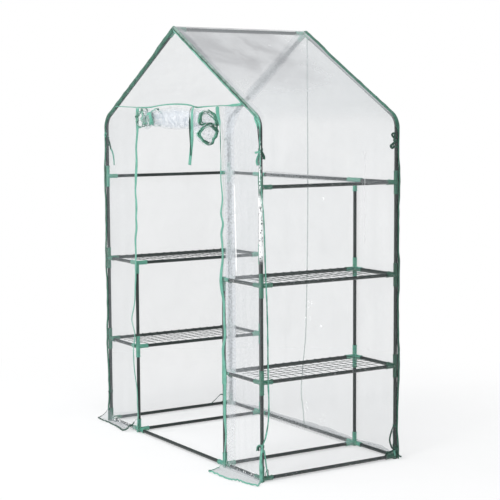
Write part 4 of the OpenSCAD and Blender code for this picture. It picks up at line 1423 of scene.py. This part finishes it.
tieLook = {
    "thick": tapeThick, "film": 0.0105, "ring": 0.010, "outside": 0.016,
    # kind of tape (mint, or dark: the darker copy that paints shade), width in mm, (right, up)
    # along it, (place along it, degrees turned away)
    "FrontRightHigh": (1, -1, 1.406, [
        ("mint", 15, [(-21, 136), (-17, 118), (-11, 98), (-11, 84)], [(0, 15), (0.7, 40), (1, 75)]),
        ("dark", 8, [(-11, 92), (-11, 76), (-8, 39), (-4, -2)], [(0, 70), (1, 80)]),
        ("dark", 9, [(-6, 2), (0, -3), (5, -8)], [(0, 0), (1, 20)]),
        ("mint", 9, [(-2, -6), (-14, -12), (-24, -14)], [(0, 0), (1, 10)]),
        ("mint", 12, [(-4, -12), (-10, -30), (-15, -50), (-11, -66)], [(0, 50), (0.5, 10), (1, 20)]),
        ("dark", 11, [(2, -6), (8, -18), (14, -34), (13, -41)], [(0, 20), (1, 0)])]),
    "FrontLeftHigh": (-1, -1, 1.406, [
        ("mint", 9, [(-10, 62), (-4, 56), (-11, 48), (-3, 42), (-10, 36)], [(0, 0), (1, 20)]),
        ("dark", 8, [(-4, 44), (6, 38), (10, 34)], [(0, 0), (1, 30)]),
        ("dark", 8, [(6, 36), (12, 12), (16, -8), (20, -24)], [(0, 60), (0.7, 10), (1, 60)]),
        ("mint", 8, [(17, -16), (26, -36), (32, -66), (34, -102)], [(0, 20), (1, 62)])]),
    "RearRightHigh": (1, 1, 1.406, [
        ("dark", 9, [(-2, 27), (-10, 38), (-19, 56), (-11, 60), (-7, 40)], [(0, 0), (1, 30)]),
        ("dark", 11, [(-2, 26), (-14, 14), (-25, 3), (-19, -5), (-8, 5)], [(0, 0), (1, 30)]),
        ("dark", 8, [(-15, 29), (-6, 29), (3, 27)], [(0, 0), (1, 0)])]),
    "RearLeftHigh": (-1, 1, 1.406, [
        ("dark", 9, [(-20, 12), (-12, 22), (-2, 26), (4, 36)], [(0, 0), (1, 20)]),
        ("dark", 7, [(-10, 22), (-4, 10), (0, 4)], [(0, 30), (1, 50)])]),
    "FrontRightLow": (1, -1, 0.153, [
        ("mint", 9, [(2, 4), (-10, 5), (-19, -6), (-21, -22)], [(0, 20), (0.6, 10), (1, 40)]),
        ("dark", 9, [(2, 0), (-8, 0), (-15, -8), (-14, -20)], [(0, 0), (1, 30)]),
        ("mint", 9, [(-2, 8), (1, -6), (2, -24)], [(0, 10), (1, 30)]),
        ("mint", 7, [(8, -14), (11, -30), (15, -62), (20, -101), (24, -132)], [(0, 30), (1, 50)]),
        ("dark", 4, [(14, -134), (17, -108), (23, -101), (27, -122), (24, -136)],
         [(0, 60), (1, 70)])]),
    "FrontLeftLow": (-1, -1, 0.153, [
        ("dark", 8, [(-14, 0), (-8, -4), (-3, -5)], [(0, 0), (1, 10)]),
        ("dark", 6, [(-9, 4), (-8, -6), (-10, -14)], [(0, 20), (1, 50)])]),
    "RearRightLow": (1, 1, 0.153, [
        ("dark", 8, [(-9, -3), (-19, -36), (-24, -66), (-14, -102)], [(0, 50), (0.5, 20), (1, 30)]),
        ("dark", 7, [(-10, -22), (-7, -60), (-8, -102)], [(0, 60), (1, 40)]),
        ("dark", 11, [(-12, -100), (-2, -108), (7, -114)], [(0, 0), (1, 0)]),
        ("dark outside", 7, [(0, -106), (8, -110), (14, -124), (20, -138), (29, -140)],
         [(0, 20), (1, 50)]),
        ("dark outside", 8, [(-6, -102), (2, -98), (9, -103), (4, -112)], [(0, 10), (1, 30)]),
        ("mint", 10, [(-2, -112), (0, -128), (2, -145)], [(0, 10), (1, 30)]),
        ("dark", 10, [(-2, -110), (-16, -118), (-32, -124), (-40, -133), (-26, -140), (-10, -138)],
         [(0, 10), (0.5, 40), (1, 20)])]),
    "RearLeftLow": (-1, 1, 0.153, [
        ("dark", 9, [(-8, 6), (0, 0), (8, -8)], [(0, 0), (1, 20)]),
        ("dark", 8, [(4, -4), (10, -20), (12, -42)], [(0, 20), (1, 50)])]),
}
viewRight = np.array([0.537, 0.844, 0.0])
viewNear = np.array([0.844, -0.537, 0.0])


def tiePoint(sideX, sideY, z, outside, across, up):
    # inside the film as near the viewer as it allows, or just outside it
    post = np.array([sideX * postX, sideY * postY, z])
    if outside:
        return post + (viewRight * across + viewNear * 1000 * tieLook["outside"]
                       + np.array([0, 0, up])) / 1000
    wall = tieLook["film"]
    near = np.linspace(-0.045, 0.045, 181)
    offset = viewRight * across / 1000 + viewNear * near[:, None]
    inside = (sideX * offset[:, 0] <= wall) & (sideY * offset[:, 1] <= wall)
    clear = np.hypot(offset[:, 0], offset[:, 1]) > tubeR + 0.002
    wanted = np.where(inside & clear, np.abs(near - 0.010), 1.0)
    return post + offset[np.argmin(wanted)] + np.array([0, 0, up / 1000])


def ringPart(x, y, z, radius, width):
    a = np.linspace(0, 2.1 * math.pi, 22)
    path = np.column_stack([x + radius * np.cos(a), y + radius * np.sin(a), z + 0 * a])
    face = unit((path - np.array([x, y, z])) * np.array([1, 1, 0]))
    return stripPart(ribbonGrid(path, acrossFrom(path, face), width, 4), tieLook["thick"])


ties = []
for tag, shape in tieLook.items():
    if not isinstance(shape, tuple):
        continue
    sideX, sideY, z, ribbons = shape
    parts = {"mint": [], "dark": [ringPart(sideX * postX, sideY * postY, z, tubeR + 0.0014,
                                           tieLook["ring"])]}
    for kind, width, line, turns in ribbons:
        kind, outside = kind.split()[0], kind.endswith("outside")
        knots = [tiePoint(sideX, sideY, z, outside, *point) for point in line]
        facings = [(share, viewNear * math.cos(math.radians(turn))
                    + viewRight * math.sin(math.radians(turn))) for share, turn in turns]
        parts[kind].append(turningRibbon(knots, facings, width / 1000, tieLook["thick"], 0.003))
    for kind, made in parts.items():
        if made:
            tape = mintTape if kind == "mint" else shadedTape
            tie = makePiece("tie" + tag + kind.capitalize(), made, tape)
            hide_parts("tie_tapes")
            ties.append(tie)
print("ties:", len(ties))


# Stitches and zip coils: small pieces repeated along a line by Geometry Nodes

def repeatTree(name):
    tree = bpy.data.node_groups.new(name, "GeometryNodeTree")
    for label, kind in (("Line", "NodeSocketGeometry"), ("Spacing", "NodeSocketFloat"),
                        ("Size", "NodeSocketVector"), ("Turn", "NodeSocketFloat"),
                        ("Uneven", "NodeSocketFloat"), ("Seed", "NodeSocketInt"),
                        ("Finish", "NodeSocketMaterial")):
        tree.interface.new_socket(label, in_out="INPUT", socket_type=kind)
    tree.interface.new_socket("Geometry", in_out="OUTPUT", socket_type="NodeSocketGeometry")
    given = tree.nodes.new("NodeGroupInput").outputs
    curve = addNode(tree, "GeometryNodeMeshToCurve", {}, {"Mesh": given["Line"]})
    spaced = addNode(tree, "GeometryNodeResampleCurve", {"mode": "LENGTH"},
                     {"Curve": curve.outputs["Curve"], "Length": given["Spacing"]})
    facing = addNode(tree, "GeometryNodeInputNamedAttribute",
                     {"data_type": "FLOAT_VECTOR", "Name": "facing"})
    tangent = addNode(tree, "GeometryNodeInputTangent")
    axes = addNode(tree, "FunctionNodeAxesToRotation",
                   {"primary_axis": "X", "secondary_axis": "Z"},
                   {"Primary Axis": tangent.outputs["Tangent"],
                    "Secondary Axis": facing.outputs["Attribute"]})
    wobble = addNode(tree, "FunctionNodeRandomValue", {"data_type": "FLOAT", "Min_001": -1.0,
                                                       "Max_001": 1.0},
                     {"Seed": given["Seed"]})
    amount = addNode(tree, "ShaderNodeMath", {"operation": "MULTIPLY_ADD"},
                     {0: wobble.outputs[1], 1: given["Uneven"], 2: given["Turn"]})
    twist = addNode(tree, "ShaderNodeCombineXYZ", {}, {"Z": amount.outputs[0]})
    turned = addNode(tree, "FunctionNodeRotateRotation", {"rotation_space": "LOCAL"},
                     {"Rotation": axes.outputs["Rotation"], "Rotate By": twist.outputs[0]})
    bar = addNode(tree, "GeometryNodeMeshCylinder", {"Vertices": 6, "Radius": 0.5, "Depth": 1.0})
    lying = addNode(tree, "GeometryNodeTransform", {"Rotation": (0, math.pi / 2, 0)},
                    {"Geometry": bar.outputs["Mesh"]})
    copies = addNode(tree, "GeometryNodeInstanceOnPoints", {},
                     {"Points": spaced.outputs["Curve"], "Instance": lying.outputs["Geometry"],
                      "Rotation": turned.outputs["Rotation"], "Scale": given["Size"]})
    solid = addNode(tree, "GeometryNodeRealizeInstances", {},
                    {"Geometry": copies.outputs["Instances"]})
    finished = addNode(tree, "GeometryNodeSetMaterial", {},
                       {"Geometry": solid.outputs["Geometry"], "Material": given["Finish"]})
    addNode(tree, "NodeGroupOutput", {}, {"Geometry": finished.outputs["Geometry"]})
    return tree


repeat = repeatTree("repeatAlongLine")


def alongLines(name, lines, faces, settings, finish):
    points, edges, facing = [], [], []
    for line, face in zip(lines, faces):
        start = len(points)
        points += [tuple(p) for p in line]
        facing += [tuple(f) for f in face]
        edges += [(start + k, start + k + 1) for k in range(len(line) - 1)]
    mesh = bpy.data.meshes.new(name + "Line")
    mesh.from_pydata(points, edges, [])
    mesh.attributes.new("facing", "FLOAT_VECTOR", "POINT").data.foreach_set(
        "vector", np.array(facing, np.float32).ravel())
    holder = bpy.data.objects.new(name + "Line", mesh)
    scene.collection.objects.link(holder)
    modifier = holder.modifiers.new("repeat", "NODES")
    modifier.node_group = repeat
    for item in repeat.interface.items_tree:
        if item.in_out == "INPUT" and item.name in settings:
            modifier[item.identifier] = settings[item.name]
        if item.in_out == "INPUT" and item.name == "Finish":
            modifier[item.identifier] = finish
    made = bpy.data.meshes.new_from_object(
        holder.evaluated_get(bpy.context.evaluated_depsgraph_get()))
    bpy.data.objects.remove(holder)
    made.name = name
    piece = bpy.data.objects.new(name, made)
    scene.collection.objects.link(piece)
    finishPiece(piece)
    return piece


stitch = {"Spacing": 0.0062, "Size": (0.0042, 0.0009, 0.0007), "Turn": 0.0, "Uneven": 0.12,
          "Seed": 5}
lift = bindingLook["thick"] / 2 + 0.0002
frontStitches = alongLines(
    "frontBindingStitches",
    [line + face * lift for line, face in zip(frontLines, frontFaces)], frontFaces, stitch,
    greenThread)
rearStitches = alongLines(
    "rearBindingStitches",
    [line + face * lift for line, face in zip(rearLines, rearFaces)], rearFaces, stitch,
    greenThread)
seamFace = gridNormals(seamGrid)
seamStitches = alongLines(
    "doorSeamStitches",
    [seamGrid[:, 1] + seamFace[:, 1] * side * 0.0011 for side in (-1, 1)],
    [seamFace[:, 1]] * 2, stitch, greenThread)
coil = {"Spacing": 0.0040, "Size": (0.0022, 0.0062, 0.0018), "Turn": 0.0, "Uneven": 0.03,
        "Seed": 9}
zipCoils = alongLines("zipCoils", [zipLines[s][0] + zipLines[s][1] * 0.0013 for s in (-1, 1)],
                      [zipLines[s][1] for s in (-1, 1)], coil, zipCoil)
print("stitches and zip coils:", sum(len(p.data.polygons) for p in
                                     (frontStitches, rearStitches, seamStitches, zipCoils)))


# Floor, light and camera

def floorMaterial():
    # Studio paper: white, matt, with a very faint mottling; it shows white to the camera and
    # in reflections and keeps the soft shadow
    material, tree = newMaterial("studioPaper")
    place = addNode(tree, "ShaderNodeTexCoord").outputs["Object"]
    mottling = addNode(tree, "ShaderNodeTexNoise",
                       {"Scale": 1000 / 400, "Detail": 2.0, "Roughness": 0.55},
                       {"Vector": place}).outputs["Fac"]
    colour = addNode(tree, "ShaderNodeMix",
                     {"data_type": "RGBA", "A_Color": paint("#f4f4f4"),
                      "B_Color": paint("#fafafa")}, {"Factor_Float": mottling})
    paper = addNode(tree, "ShaderNodeBsdfDiffuse", {"Roughness": 1.0},
                    {"Color": colour.outputs[2]})
    glow = addNode(tree, "ShaderNodeEmission", {"Color": (1, 1, 1, 1), "Strength": 1.0})
    seen = addNode(tree, "ShaderNodeLightPath").outputs
    both = addNode(tree, "ShaderNodeMath", {"operation": "MAXIMUM"},
                   {0: seen["Is Camera Ray"], 1: seen["Is Glossy Ray"]})
    every = addNode(tree, "ShaderNodeMath", {"operation": "MAXIMUM"},
                    {0: both.outputs[0], 1: seen["Is Transmission Ray"]})
    # the paper's own light counts near the object, where the shadow lies
    away = addNode(tree, "ShaderNodeVectorMath", {"operation": "LENGTH"}, {0: place})
    axes = addNode(tree, "ShaderNodeSeparateXYZ", {}, {0: place}).outputs
    under = joined(tree, "MULTIPLY", [bandMask(tree, axes["X"], 0.0, 0.80, 0.10),
                                      bandMask(tree, axes["Y"], 0.0, 0.46, 0.10)])
    near = addNode(tree, "ShaderNodeMapRange",
                   {"interpolation_type": "SMOOTHSTEP", "From Min": 0.0, "From Max": 1.0,
                    "To Min": 0.62, "To Max": 0.4}, {"Value": under}).outputs["Result"]
    farOut = addNode(tree, "ShaderNodeMapRange",
                     {"interpolation_type": "SMOOTHSTEP", "From Min": 0.9, "From Max": 2.6},
                     {"Value": away.outputs["Value"]}).outputs["Result"]
    glowing = addNode(tree, "ShaderNodeMix", {"B_Float": 1.0},
                      {"Factor_Float": farOut, "A_Float": near}).outputs[0]
    share = joined(tree, "MULTIPLY", [every.outputs[0], glowing])
    shader = addNode(tree, "ShaderNodeMixShader", {},
                     {0: share, 1: paper.outputs[0], 2: glow.outputs[0]})
    closeMaterial(tree, shader.outputs[0])
    return material


bpy.ops.mesh.primitive_plane_add(size=60, location=(0, 0, -0.0004))
floor = bpy.context.object
floor.name = "studioFloor"
floor.data.materials.append(floorMaterial())

world = bpy.data.worlds.new("studioWorld")
scene.world = world
world.use_nodes = True
sky = world.node_tree
sky.nodes.clear()
seen = addNode(sky, "ShaderNodeLightPath").outputs
both = addNode(sky, "ShaderNodeMath", {"operation": "MAXIMUM"},
               {0: seen["Is Camera Ray"], 1: seen["Is Transmission Ray"]})
dim = addNode(sky, "ShaderNodeBackground", {"Color": (0.94, 0.97, 1.0, 1), "Strength": 0.50})
white = addNode(sky, "ShaderNodeBackground", {"Color": (1, 1, 1, 1), "Strength": 1.0})
mixed = addNode(sky, "ShaderNodeMixShader", {}, {0: both.outputs[0], 1: dim.outputs[0],
                                                 2: white.outputs[0]})
addNode(sky, "ShaderNodeOutputWorld", {}, {"Surface": mixed.outputs[0]})

softboxes = {      # place, target, width, height, watts
    "frontLeftBox": ((-1.9, -4.6, 1.9), (0, 0, 1.0), 0.9, 2.2, 60),
    "rightRearBox": ((2.4, 4.6, 1.9), (0, 0, 1.0), 0.8, 2.0, 45),
    "overheadBox": ((0.8, -1.0, 4.6), (0, 0, 1.0), 2.6, 2.6, 95),
    "frontRightBox": ((2.6, -5.2, 2.6), (0, 0, 0.9), 1.6, 1.6, 60),
}
for name, (place, target, width, height, watts) in softboxes.items():
    lamp = bpy.data.lights.new(name, "AREA")
    lamp.shape = "RECTANGLE"
    lamp.size, lamp.size_y = width, height
    lamp.energy = watts
    box = bpy.data.objects.new(name, lamp)
    aim = Vector(target) - Vector(place)
    box.location = place
    box.rotation_euler = aim.to_track_quat("-Z", "Y").to_euler()
    scene.collection.objects.link(box)

cameraLook = {"place": (5.434, -3.418, 1.537), "azimuth": 57.545, "down": 5.566,
              "roll": -0.320, "lens": 97.71}
a, e, r = (math.radians(cameraLook[k]) for k in ("azimuth", "down", "roll"))
back = Vector((math.sin(a) * math.cos(e), -math.cos(a) * math.cos(e), math.sin(e)))
level = Vector((math.cos(a), math.sin(a), 0))
up = back.cross(level)
right = level * math.cos(r) + up * math.sin(r)
up = up * math.cos(r) - level * math.sin(r)
cameraData = bpy.data.cameras.new("studioCamera")
cameraData.lens = cameraLook["lens"]
cameraData.sensor_width = 36
camera = bpy.data.objects.new("studioCamera", cameraData)
camera.matrix_world = Matrix.Translation(cameraLook["place"]) @ Matrix(
    (right, up, back)).transposed().to_4x4()
scene.collection.objects.link(camera)
scene.camera = camera
scene.view_settings.view_transform = "Standard"
scene.cycles.transparent_max_bounces = 32      # the rolled film is many layers deep
print("floor, light and camera")
